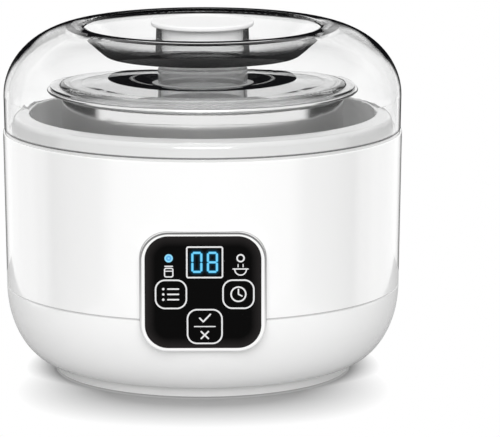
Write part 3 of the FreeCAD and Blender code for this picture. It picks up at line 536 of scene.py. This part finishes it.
    def make(self) -> bpy.types.Material:
        """Builds the material.

        Returns:
            A new material.
        """
        material, graph = new_material(self.name)
        place = graph.place()
        haze = graph.noise(place, *self.HAZE)
        dim = tuple(channel * self.HAZE_DIM for channel in self.tint)
        plastic = graph.add("ShaderNodeBsdfPrincipled", None, {
            "Base Color": graph.blend(haze, dim, self.tint),
            "Roughness": self.ROUGHNESS * (self.ROUGH_BASE + haze * self.ROUGH_HAZE),
            "Transmission Weight": 1.0,
            "IOR": self.IOR,
            "Specular Tint": (self.gloss, self.gloss, self.gloss, 1.0),
            "Normal": graph.bent(place, Grain.CLEAR),
        })
        knob, rim, dark = self.knob(graph, place), self.rim(graph, place), self.darkening(graph, place)
        # Matte shader of painted light and shade: near black on the dark edges, grey on the knob, pale on the
        # front of the rim.
        solid = graph.blend(knob, self.EDGE_SHADE_COLOUR, self.KNOB_PAINTED_GREY)
        edge = graph.add("ShaderNodeBsdfPrincipled", None, {
            "Base Color": graph.blend(rim * (1.0 - dark), solid, self.RIM_PAINTED_PALE),
            "Roughness": self.EDGE_ROUGH,
            "Specular IOR Level": 0.0,
        })
        share = dark.highest(knob * self.KNOB_SHARE).highest(rim * self.rim_share)
        passing = graph.add("ShaderNodeBsdfTransparent", None, {"Color": (*self.tint, 1.0)})
        path = graph.add("ShaderNodeLightPath")
        unseen = graph.out(path, "Is Shadow Ray").highest(graph.out(path, "Is Diffuse Ray"))
        graph.finish(graph.mixed(unseen, graph.mixed(share, plastic, edge), passing))
        return material


class Glyph(Enum):
    """Print on the front of a panel piece, or the painted shadow line round the surround."""

    LIST = "list"
    CLOCK = "clock"
    TICK_CROSS = "tick and cross"
    DIGITS = "digits"
    LAMP_LIT = "lit lamp"
    LAMP_DARK = "unlit lamp"
    LAMP_LABELS = "lamp labels"
    SURROUND_SHADE_LINE = "surround"


@dataclass(frozen=True)
class Mark:
    """A printed line, in millimetres from the middle of its piece, with its share of the line width."""

    start: Pair
    end: Pair
    weight: float = 1.0


LIST_ROWS = (2.6, 0.0, -2.6)
LIST_DOT_X = -3.7
LIST_DOT_RADIUS = 0.6
CLOCK_RADIUS = 3.9
JAR_X = -16.5
JAR_Z = 9.7
JAR_SIZE = (4.6, 4.8)
JAR_CORNER = 1.1
BOWL_X = 18.1
BOWL_Z = 11.2
BOWL_RADIUS = 3.1
LABEL_WEIGHT = 0.8
THIN_WEIGHT = 0.64
MARKS: dict[Glyph, tuple[Mark, ...]] = {
    Glyph.LIST: tuple(Mark((-1.5, row), (3.6, row)) for row in LIST_ROWS),
    Glyph.CLOCK: (
        Mark((0.0, 0.0), (0.0, 2.4), 0.9),
        Mark((0.0, 0.0), (1.7, -0.9), 0.9),
    ),
    Glyph.TICK_CROSS: (
        Mark((-5.0, 0.0), (5.0, 0.0), 0.7),
        Mark((-2.4, 4.1), (-0.7, 2.4)),
        Mark((-0.7, 2.4), (2.7, 6.0)),
        Mark((-1.7, -5.9), (1.7, -2.5)),
        Mark((-1.7, -2.5), (1.7, -5.9)),
    ),
    Glyph.LAMP_LABELS: (
        Mark((JAR_X - 1.8, 12.8), (JAR_X + 1.8, 12.8), LABEL_WEIGHT),
        Mark((JAR_X - 1.6, 10.4), (JAR_X + 1.6, 10.4), THIN_WEIGHT),
        Mark((BOWL_X - 3.6, 11.4), (BOWL_X + 3.6, 11.4), LABEL_WEIGHT),
        Mark((BOWL_X - 1.2, 12.4), (BOWL_X - 1.2, 13.6), THIN_WEIGHT),
        Mark((BOWL_X + 1.2, 12.4), (BOWL_X + 1.2, 13.6), THIN_WEIGHT),
    ),
}


@dataclass(frozen=True)
class PrintedFinish:
    """Gloss black panel plastic with white print, or lit parts, on its front face; on the white surround the
    printed band is a painted shadow line instead.
    """

    CYAN: ClassVar[Colour] = (0.09, 0.56, 0.95)
    BLUE: ClassVar[Colour] = (0.10, 0.42, 0.86)
    LIT_CORE: ClassVar[Colour] = (0.40, 0.88, 1.0)
    RIM: ClassVar[Colour] = (0.020, 0.018, 0.018)
    RIM_SPAN: ClassVar[float] = 0.005
    LOW_SHADE_GREY: ClassVar[Colour] = (0.80, 0.80, 0.80)
    FACE_SKIN: ClassVar[float] = 0.0002
    PRINT_SOFT: ClassVar[float] = 0.00006
    HALO_SOFT: ClassVar[float] = 0.0028
    HALO_SHARE: ClassVar[float] = 0.10
    BAR_SOFT: ClassVar[float] = 0.0002
    CORE_INSET: ClassVar[float] = 0.0004
    CORE_SOFT: ClassVar[float] = 0.0005
    CORE_SHARE: ClassVar[float] = 0.7
    LAMP_SOFT: ClassVar[float] = 0.0004
    PIP_RADIUS: ClassVar[float] = 0.0005
    PIP_SOFT: ClassVar[float] = 0.0006
    PIP_SHARE: ClassVar[float] = 0.75
    SMUDGE: ClassVar[Pair] = (70.0, 4.0)
    ROUGH_BASE: ClassVar[float] = 0.08
    ROUGH_SMUDGE: ClassVar[float] = 0.06
    ROUGH_PRINT: ClassVar[float] = 0.25
    SPECULAR: ClassVar[float] = 0.025

    name: str
    glyph: Glyph
    centre: Pair
    size: Pair
    corner: float
    front: float
    black: Colour = (0.0022, 0.0021, 0.0021)
    white: Colour = (0.76, 0.76, 0.765)
    line: float = 0.00075

    def spot(self, x: float, z: float) -> Pair:
        """Panel place of a point that is given in millimetres from the middle of the print."""
        return self.centre[0] + x * MM, self.centre[1] + z * MM

    def shapes(self, ink: Ink) -> list[Wire]:
        """White printed shapes.

        Args:
            ink: Shape maker.

        Returns:
            Distances of the shapes.
        """
        marks = [ink.stroke(self.spot(*mark.start), self.spot(*mark.end), self.line * mark.weight)
                 for mark in MARKS.get(self.glyph, ())]
        if self.glyph is Glyph.LAMP_LABELS:
            return marks + self.label_outlines(ink)
        if self.glyph is Glyph.LIST:
            marks += [ink.disc(self.spot(LIST_DOT_X, row), LIST_DOT_RADIUS * MM) for row in LIST_ROWS]
        if self.glyph is Glyph.CLOCK:
            marks.append(ink.band(ink.disc(self.centre, CLOCK_RADIUS * MM), self.line))
        return [ink.band(ink.plate(self.centre, self.size, self.corner), self.line), *marks]

    def label_outlines(self, ink: Ink) -> list[Wire]:
        """Outlines of the small jar and bowl under the two lamps."""
        line = self.line * LABEL_WEIGHT
        jar_size = (JAR_SIZE[0] * MM, JAR_SIZE[1] * MM)
        jar = ink.band(ink.plate(self.spot(JAR_X, JAR_Z), jar_size, JAR_CORNER * MM), line)
        bowl_spot = self.spot(BOWL_X, BOWL_Z)
        bowl = ink.band(ink.disc(bowl_spot, BOWL_RADIUS * MM), line).highest(ink.z - bowl_spot[1])
        return [jar, bowl]

    def segments(self, ink: Ink) -> list[Wire]:
        """Lit bars of the two digits, 0 and 8."""
        half_w, half_h, gap, width, pitch = 2.15e-3, 4.65e-3, 0.72e-3, 1.15e-3, 3.75e-3
        bars = []
        for shift, middle in ((-pitch, False), (pitch, True)):
            x, z = self.centre[0] + shift, self.centre[1]
            levels = (z + half_h, z - half_h) + ((z,) if middle else ())
            reach = half_w - gap
            bars += [ink.stroke((x - reach, level), (x + reach, level), width) for level in levels]
            for side in (-half_w, half_w):
                bars.append(ink.stroke((x + side, z + gap), (x + side, z + half_h - gap), width))
                bars.append(ink.stroke((x + side, z - half_h + gap), (x + side, z - gap), width))
        return bars

    def glow(self, graph: Graph, ink: Ink, face: Wire) -> Union[Wire, tuple[float, ...]]:
        """Light from the digits or the lit lamp.

        Args:
            graph: Graph to add nodes to.
            ink: Shape maker.
            face: 1 on the front face.

        Returns:
            The colour of the light, black where there is none.
        """
        if self.glyph is Glyph.DIGITS:
            bars = self.segments(ink)
            halo = ink.cover(*bars, soft=self.HALO_SOFT) * self.HALO_SHARE
            lit = ink.cover(*bars, soft=self.BAR_SOFT).highest(halo) * face
            core = ink.cover(*[bar + self.CORE_INSET for bar in bars], soft=self.CORE_SOFT) * face
            return graph.blend(core * self.CORE_SHARE, graph.blend(lit, UNLIT, self.CYAN), self.LIT_CORE)
        if self.glyph is Glyph.LAMP_LIT:
            lit = ink.cover(ink.disc(self.centre, self.size[0] / 2), soft=self.LAMP_SOFT) * face
            pip = ink.disc(self.centre, self.PIP_RADIUS)
            bright = ink.cover(*self.shapes(ink), pip, soft=self.PIP_SOFT) * face
            return graph.blend(bright * self.PIP_SHARE, graph.blend(lit, UNLIT, self.BLUE), self.LIT_CORE)
        return (*UNLIT, 1.0)

    def make(self) -> bpy.types.Material:
        """Builds the material.

        Returns:
            A new material.
        """
        material, graph = new_material(self.name)
        place = graph.place()
        x, y, z = graph.axes(place)
        ink = Ink(x, z)
        face = y < self.front + self.FACE_SKIN
        printed: Number = 0.0
        if self.glyph is not Glyph.LAMP_LIT:
            printed = ink.cover(*self.shapes(ink), soft=self.PRINT_SOFT) * face
        ground, paint = self.black, self.white
        if self.glyph is Glyph.LAMP_LABELS:
            border = ink.plate(self.centre, self.size, self.corner)
            ground = graph.blend(border / self.RIM_SPAN + 1.0, self.black, self.RIM)
        # Painted shadow line round the frame's outer edge: dark grey at the top, pale grey at the bottom.
        if self.glyph is Glyph.SURROUND_SHADE_LINE:
            height = ((z - self.centre[1]) / self.size[1] + 0.5).clamped()
            paint = graph.blend(height, self.LOW_SHADE_GREY, self.white)
        smudge = graph.noise(place, *self.SMUDGE)
        graph.finish(graph.add("ShaderNodeBsdfPrincipled", None, {
            "Base Color": graph.blend(printed, ground, paint),
            "Roughness": self.ROUGH_BASE + smudge * self.ROUGH_SMUDGE + printed * self.ROUGH_PRINT,
            "Specular IOR Level": self.SPECULAR,
            "Emission Color": self.glow(graph, ink, face),
            "Emission Strength": 1.0,
            "Normal": graph.bent(place, Grain.PANEL),
        }))
        return material


# The white shell carries a painted grey shadow line at its parting line.
WHITE_SHELL = Finish("white_shell", (0.93, 0.93, 0.928), 0.16, Grain.MOULDED, coat=0.9, drift=0.010,
                     joint_shade=0.044)
WHITE_FOOT = Finish("white_foot", (0.86, 0.86, 0.855), 0.42, Grain.SPARK, drift=0.03)
# The collar is the shell's white plastic, with its colour lowered to 0.68 as painted shade.
SHADED_WHITE_COLLAR = Finish("white_collar_painted_shade", (0.68, 0.68, 0.678), 0.2, Grain.MOULDED, coat=0.8, drift=0.010)
WHITE_CAP = Finish("white_cap", (0.90, 0.90, 0.90), 0.35, Grain.POLISHED, drift=0.010, specular=0.3)
FOOT_RUBBER = Finish("foot_rubber", (0.22, 0.22, 0.22), 0.75, Grain.SPARK, drift=0.12)
POT_STEEL = Finish("pot_steel", (0.84, 0.838, 0.835), 0.14, Grain.TURNED, metallic=1.0, drift=0.04,
                   inside=(0.84, 0.84, 0.842))
WELL_ALUMINIUM = Finish("well_aluminium", (0.80, 0.81, 0.82), 0.34, Grain.TURNED, metallic=1.0, drift=0.05)
SCREW_STEEL = Finish("screw_steel", (0.58, 0.57, 0.55), 0.3, Grain.TURNED, metallic=1.0, drift=0.1)
SPRING_STEEL = Finish("spring_steel", (0.52, 0.53, 0.55), 0.33, Grain.TURNED, metallic=1.0, drift=0.08)
PIN_BRASS = Finish("pin_brass", (0.80, 0.66, 0.36), 0.24, Grain.POLISHED, metallic=1.0, drift=0.06)
FELT = Finish("felt", (0.72, 0.69, 0.62), 0.95, Grain.FELTED, drift=0.25)
HEATER_FILM = Finish("heater_film", (0.55, 0.24, 0.06), 0.3, Grain.MOULDED, coat=0.2, drift=0.15)
SILICONE = Finish("silicone", (0.82, 0.82, 0.81), 0.45, Grain.MOULDED, drift=0.05)
BOARD_GREEN = Finish("board_green", (0.03, 0.22, 0.09), 0.35, Grain.SPARK, drift=0.2)
BLACK_BODY = Finish("black_body", (0.02, 0.02, 0.021), 0.5, Grain.SPARK, drift=0.25)
INLET_BLACK = Finish("inlet_black", (0.022, 0.022, 0.023), 0.42, Grain.SPARK, drift=0.2)
CORE_TAPE = Finish("core_tape", (0.72, 0.55, 0.08), 0.4, Grain.MOULDED, drift=0.12)
RELAY_BLUE = Finish("relay_blue", (0.04, 0.13, 0.45), 0.35, Grain.SPARK, drift=0.1)
SLEEVE_BLACK = Finish("sleeve_black", (0.05, 0.05, 0.07), 0.3, Grain.POLISHED, drift=0.1)
WIRE_RED = Finish("wire_red", (0.55, 0.04, 0.03), 0.4, Grain.MOULDED, drift=0.1)
WIRE_WHITE = Finish("wire_white", (0.80, 0.80, 0.78), 0.4, Grain.MOULDED, drift=0.06)
RIBBON_GREY = Finish("ribbon_grey", (0.5, 0.5, 0.52), 0.45, Grain.MOULDED, drift=0.1)
DOME_CLEAR = ClearFinish(
    "dome_clear", (0.997, 0.998, 0.998), edge=(0.77, 0.82), floor_radius=0.0475, dark_radius=0.037,
    dark_soft=0.010, under_radius=0.064, under_top=0.1708, crest_low=0.166, wall_top=0.160, post_radius=0.0240,
    foot_top=0.1241)
LID_CLEAR = ClearFinish(
    "lid_clear", (0.99, 0.992, 0.994), edge=(0.90, 0.97), floor_radius=0.072, dark_radius=0.051,
    dark_soft=0.003, dark_shift=0.025, dark_stretch=0.87, dark_ring=0.036, knob_radius=0.0258, knob_low=0.1470,
    rim_radius=0.059, rim_share=0.15, gloss=0.55)


def dress(names: Names, finish: Union[Finish, ClearFinish, PrintedFinish]) -> None:
    """Gives CAD nodes one finish.

    Args:
        names: Node names.
        finish: What they are made of.
    """
    material = finish.make()
    for name in names:
        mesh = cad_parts[name].data
        mesh.materials.clear()
        mesh.materials.append(material)
        log.info("%s dressed in %s", name, finish.name)


@dataclass(frozen=True)
class Housing:
    """White outer shells, the foot plate and its feet."""

    shells: Names = ("upper_housing", "lower_housing")
    collar: Names = ("deck_ring",)
    foot_plate: Names = ("base_plate",)
    feet: Names = ("rubber_feet",)
    screws: Names = ("base_screws", "shell_screws", "chamber_screws", "board_screws", "power_board_screws")

    def build(self) -> None:
        """Dresses the housing's nodes."""
        dress(self.shells, WHITE_SHELL)
        # The deck ring's darker white is painted shade.
        dress(self.collar, SHADED_WHITE_COLLAR)
        dress(self.foot_plate, WHITE_FOOT)
        dress(self.feet, FOOT_RUBBER)
        dress(self.screws, SCREW_STEEL)


@dataclass(frozen=True)
class WarmingWell:
    """Aluminium well with its heater and sensor."""

    metal: Names = ("heating_chamber", "heater_cover")
    sleeve: Names = ("insulation_sleeve",)
    heater: Names = ("heater_pad",)
    sensing: Names = ("temperature_sensor", "thermal_fuse", "sensor_clip")

    def build(self) -> None:
        """Dresses the well's nodes."""
        dress(self.metal, WELL_ALUMINIUM)
        dress(self.sleeve, FELT)
        dress(self.heater, HEATER_FILM)
        dress(self.sensing, SPRING_STEEL)


@dataclass(frozen=True)
class Vessel:
    """Steel pot, its clear lid, and the dome with its cap."""

    pot: Names = ("inner_pot",)
    lid: Names = ("pot_lid",)
    seal: Names = ("pot_lid_seal",)
    dome: Names = ("dome_lid",)
    cap: Names = ("lid_cap",)

    def build(self) -> None:
        """Dresses the pot, lids and cap."""
        dress(self.pot, POT_STEEL)
        dress(self.lid, LID_CLEAR)
        dress(self.seal, SILICONE)
        dress(self.dome, DOME_CLEAR)
        dress(self.cap, WHITE_CAP)


@dataclass(frozen=True)
class ControlPanel:
    """Black panel with printed keys, two lamps and a lit display."""

    front: float = -0.1006
    group_x: float = 0.0008
    frame_z: float = 0.0588
    frame_size: Pair = (0.061, 0.0586)
    frame_corner: float = 0.0136
    frame_white: Colour = (0.90, 0.90, 0.895)
    # Grey and width of the painted shadow line round the frame's outer edge.
    outline_shade_grey: Colour = (0.16, 0.16, 0.16)
    outline_shade: float = 0.0009
    side_x: float = 0.01625
    side_z: float = 0.0578
    side_size: Pair = (0.0156, 0.0146)
    low_z: float = 0.0419
    low_size: Pair = (0.0174, 0.0174)
    key_corner: float = 0.005
    window_z: float = 0.0735
    window_size: Pair = (0.0179, 0.0157)
    window_corner: float = 0.0012
    lamp_x: float = 0.0173
    lamp_z: float = 0.0755
    lamp_size: float = 0.0041
    lamp_flat: float = 0.000001
    face_size: Pair = (0.0561, 0.0549)
    face_corner: float = 0.0113
    behind: Names = ("led_display", "tact_switches")
    boards: Names = ("control_board", "power_board")

    def printed(self, node: str, glyph: Glyph, centre: Pair, size: Pair, corner: float) -> None:
        """Prints one panel node.

        Args:
            node: CAD node to dress.
            glyph: What is printed on it.
            centre: Middle of the print, in x and z.
            size: Width and height of its border.
            corner: Corner radius of its border.
        """
        dress((node,), PrintedFinish(node + "_print", glyph, centre, size, corner, self.front))

    def build(self) -> None:
        """Dresses the panel's nodes."""
        middle = (0.0, self.frame_z)
        # White frame with a painted shadow line round its outer edge.
        dress(("control_frame",), PrintedFinish(
            "white_surround_painted_shade", Glyph.SURROUND_SHADE_LINE, middle, self.frame_size, self.frame_corner, self.front,
            black=self.frame_white, white=self.outline_shade_grey, line=self.outline_shade))
        left, right = self.group_x - self.side_x, self.group_x + self.side_x
        low, window = (self.group_x, self.low_z), (self.group_x, self.window_z)
        self.printed("mode_button", Glyph.LIST, (left, self.side_z), self.side_size, self.key_corner)
        self.printed("time_button", Glyph.CLOCK, (right, self.side_z), self.side_size, self.key_corner)
        self.printed("start_button", Glyph.TICK_CROSS, low, self.low_size, self.key_corner)
        self.printed("display_window", Glyph.DIGITS, window, self.window_size, self.window_corner)
        lamp, lamp_corner = (self.lamp_size, self.lamp_size), self.lamp_size / 2 - self.lamp_flat
        lamp_left, lamp_right = self.group_x - self.lamp_x, self.group_x + self.lamp_x
        self.printed("left_indicator", Glyph.LAMP_LIT, (lamp_left, self.lamp_z), lamp, lamp_corner)
        self.printed("right_indicator", Glyph.LAMP_DARK, (lamp_right, self.lamp_z), lamp, lamp_corner)
        self.printed("control_face", Glyph.LAMP_LABELS, middle, self.face_size, self.face_corner)
        dress(self.behind, BLACK_BODY)
        dress(self.boards, BOARD_GREEN)


@dataclass(frozen=True)
class PowerSupply:
    """Inlet, board parts and leads."""

    inlet: Names = ("power_inlet",)
    pins: Names = ("inlet_pins",)
    transformer: Names = ("transformer",)
    relay: Names = ("heater_relay",)
    capacitor: Names = ("filter_capacitor",)
    mains: Names = ("mains_leads",)
    thin_leads: Names = ("heater_leads", "sensor_lead")
    ribbon: Names = ("panel_ribbon",)

    def build(self) -> None:
        """Dresses the supply's nodes."""
        dress(self.inlet, INLET_BLACK)
        dress(self.pins, PIN_BRASS)
        dress(self.transformer, CORE_TAPE)
        dress(self.relay, RELAY_BLUE)
        dress(self.capacitor, SLEEVE_BLACK)
        dress(self.mains, WIRE_RED)
        dress(self.thin_leads, WIRE_WHITE)
        dress(self.ribbon, RIBBON_GREY)


def aimed(direction: Vector) -> Euler:
    """Turn of a camera or lamp that looks along a direction."""
    return direction.to_track_quat("-Z", "Y").to_euler()


@dataclass(frozen=True)
class Viewpoint:
    """Camera at the photograph's viewpoint, with angles in degrees and lens and sensor in millimetres."""

    eye: Triple = (0.0, -1.9, 0.4349)
    yaw: float = 0.7204
    pitch: float = 10.6988
    lens: float = 274.70
    sensor: float = 36.0
    clip: Pair = (0.05, 20.0)

    def build(self) -> None:
        """Adds the camera."""
        bpy.ops.object.camera_add(location=self.eye)
        camera = bpy.context.object
        yaw, pitch = math.radians(self.yaw), math.radians(self.pitch)
        ahead = Vector((math.sin(yaw) * math.cos(pitch), math.cos(yaw) * math.cos(pitch), -math.sin(pitch)))
        camera.rotation_euler = aimed(ahead)
        camera.data.sensor_width = self.sensor
        camera.data.lens = self.lens
        camera.data.clip_start, camera.data.clip_end = self.clip
        bpy.context.scene.camera = camera


@dataclass(frozen=True)
class Floor:
    """Pale floor that keeps the object's shadow and turns white away from it. The shadow is partly rendered and
    partly painted shade: the camera sees the floor greyer than the light it bounces, and zones set by place
    fade it to white.

    Each shade pair holds the distances at which the white starts and is full, from the foot and from a point in
    front of it.
    """

    half: float = 0.24
    drop: float = 0.0002
    foot_shade: Pair = (0.074, 0.090)
    front_shade: Pair = (0.040, 0.089)
    front_y: float = -0.052
    front_depth: float = 1.1
    front_width: float = 0.76
    front_taper: float = 24.0
    # Reach and share of painted light under the foot.
    contact: float = 0.05
    contact_painted_light: float = 0.25
    lighting_grey: Colour = (0.60, 0.60, 0.60)
    seen_grey: Colour = (0.47, 0.47, 0.47)

    def build(self) -> None:
        """Lays the floor."""
        bpy.ops.mesh.primitive_plane_add(size=2 * self.half, location=(0.0, 0.0, -self.drop))
        plane = bpy.context.object
        plane.name = "floor"
        material, graph = new_material("pale_floor")
        x, y, _ = graph.axes(graph.place())
        near, far = self.foot_shade
        round_foot = (length(x, y) - near) / (far - near)
        near, far = self.front_shade
        side = x * (self.front_width + x * x * self.front_taper)
        in_front = (length(side, (y - self.front_y) * self.front_depth) - near) / (far - near)
        # Right under the foot a share of white emission is painted light that thins the dark contact shadow.
        away = round_foot.lowest(in_front).highest((round_foot < self.contact) * self.contact_painted_light)
        path = graph.add("ShaderNodeLightPath")
        seen = graph.out(path, "Is Camera Ray").highest(graph.out(path, "Is Transmission Ray"))
        # Painted shade: the camera sees the floor a darker grey than the grey it bounces.
        pale = graph.blend(seen, self.lighting_grey, self.seen_grey)
        matte = graph.add("ShaderNodeBsdfDiffuse", None, {"Color": pale})
        white = graph.add("ShaderNodeEmission", None, {"Color": PLAIN_WHITE, "Strength": 1.0})
        graph.finish(graph.mixed(away.clamped() * seen, matte, white))
        plane.data.materials.append(material)


@dataclass(frozen=True)
class Surroundings:
    """White studio with darker zones, which gloss and clear edges pick up.

    Each pair holds where a zone starts or ends and the span of its soft edge. Zones are measured by how far a
    direction points ahead, away from the camera, or by its height.
    """

    flat_guard: float = 0.001
    strip_start: Pair = (-0.62, 0.14)
    strip_end: Pair = (0.26, 0.14)
    back_start: Pair = (0.93, 0.05)
    back_top: Pair = (0.06, 0.06)
    zone_top: Pair = (0.5, 0.2)
    beyond_start: Pair = (0.02, 0.1)
    window_start: Pair = (0.9, 0.05)
    window_sill: Pair = (0.04, 0.04)
    softbox_start: Pair = (0.34, 0.1)
    softbox_end: Pair = (0.93, 0.05)
    softbox_gain: float = 0.3
    ceiling_start: Pair = (0.42, 0.15)
    ceiling_dark: float = 0.9
    gloss_dark: float = 0.92
    clear_dark: float = 0.95
    wall_crossings: float = 2.0
    horizon: Pair = (-0.1, 0.3)
    below: float = 0.45
    side_gain: float = 0.95
    overhead_start: Pair = (0.4, 0.4)
    overhead_dark: float = 0.4
    sky: float = 0.64

    def build(self) -> None:
        """Sets the world."""
        world = bpy.data.worlds.new("studio")
        bpy.context.scene.world = world
        world.use_nodes = True
        graph = Graph(world.node_tree)
        x, y, z = graph.axes(graph.out(graph.add("ShaderNodeTexCoord"), "Generated"))
        ahead = y / length(x, y).highest(self.flat_guard)
        strip = ahead.rise(*self.strip_start) * ahead.fall(*self.strip_end)
        back = ahead.rise(*self.back_start) * z.fall(*self.back_top)
        below_ceiling = z.fall(*self.zone_top)
        beyond = ahead.rise(*self.beyond_start)
        window = ahead.rise(*self.window_start) * z.rise(*self.window_sill)
        softbox = ahead.rise(*self.softbox_start) * ahead.fall(*self.softbox_end) * self.softbox_gain
        ceiling = z.rise(*self.ceiling_start) * self.ceiling_dark
        path = graph.add("ShaderNodeLightPath")
        seen = graph.out(path, "Is Camera Ray")
        through = graph.out(path, "Is Transmission Ray")
        mirrored = graph.out(path, "Glossy Depth").clamped()
        deep = (graph.out(path, "Transmission Depth") - self.wall_crossings).clamped()
        gloss = graph.out(path, "Is Glossy Ray") * (1.0 - through)
        plain = 1.0 - gloss.highest(through).highest(seen)
        on_gloss = 1.0 + softbox - (strip.highest(back) * below_ceiling * self.gloss_dark).highest(ceiling)
        shaded = back.highest(deep * beyond) * below_ceiling * (1.0 - window) * self.clear_dark
        in_clear = 1.0 - mirrored * shaded.highest(ceiling * (1.0 - deep))
        around = (self.below + z.rise(*self.horizon) * (1.0 - self.below)) * (1.0 + abs(x) * self.side_gain)
        overhead = 1.0 - z.rise(*self.overhead_start) * self.overhead_dark
        level = seen + gloss * on_gloss + through * in_clear + plain * around * overhead * self.sky
        shader = graph.add("ShaderNodeBackground", None, {"Color": PLAIN_WHITE, "Strength": level})
        graph.add("ShaderNodeOutputWorld", None, {"Surface": graph.out(shader)})


@dataclass(frozen=True)
class Lamp:
    """Soft square lamp: its name, place, aim, side length in metres and power in watts."""

    name: str
    place: Triple
    aim: Triple
    size: float
    power: float

    def build(self) -> None:
        """Hangs the lamp, hidden from reflections."""
        bpy.ops.object.light_add(type="AREA", location=self.place)
        light = bpy.context.object
        light.name = self.name
        light.rotation_euler = aimed(Vector(self.aim) - Vector(self.place))
        light.data.size = self.size
        light.data.energy = self.power
        light.visible_glossy = False


@dataclass(frozen=True)
class Studio:
    """Camera, pale floor, bright surroundings and soft lamps."""

    aim: Triple = (0.0, 0.0, 0.08)
    top: Triple = (0.0, 0.1, 1.3)
    top_power: float = 2.0
    front: Triple = (0.0, -1.45, 0.85)
    front_power: float = 13.5
    lamp_size: float = 0.9

    def build(self) -> None:
        """Sets the whole studio."""
        top_lamp = Lamp("top_lamp", self.top, self.aim, self.lamp_size, self.top_power)
        front_lamp = Lamp("front_lamp", self.front, self.aim, self.lamp_size, self.front_power)
        for item in (Viewpoint(), Floor(), Surroundings(), top_lamp, front_lamp):
            item.build()


def main() -> None:
    """Builds the looks and the studio."""
    logging.basicConfig(level=logging.INFO, format="%(name)s: %(message)s")
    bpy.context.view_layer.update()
    bpy.ops.object.select_all(action="DESELECT")
    for assembly in (Housing(), WarmingWell(), Vessel(), ControlPanel(), PowerSupply(), Studio()):
        assembly.build()
        log.info("%s done", type(assembly).__name__)
    bpy.context.scene.view_settings.view_transform = "Standard"


if __name__ == "__main__":
    main()
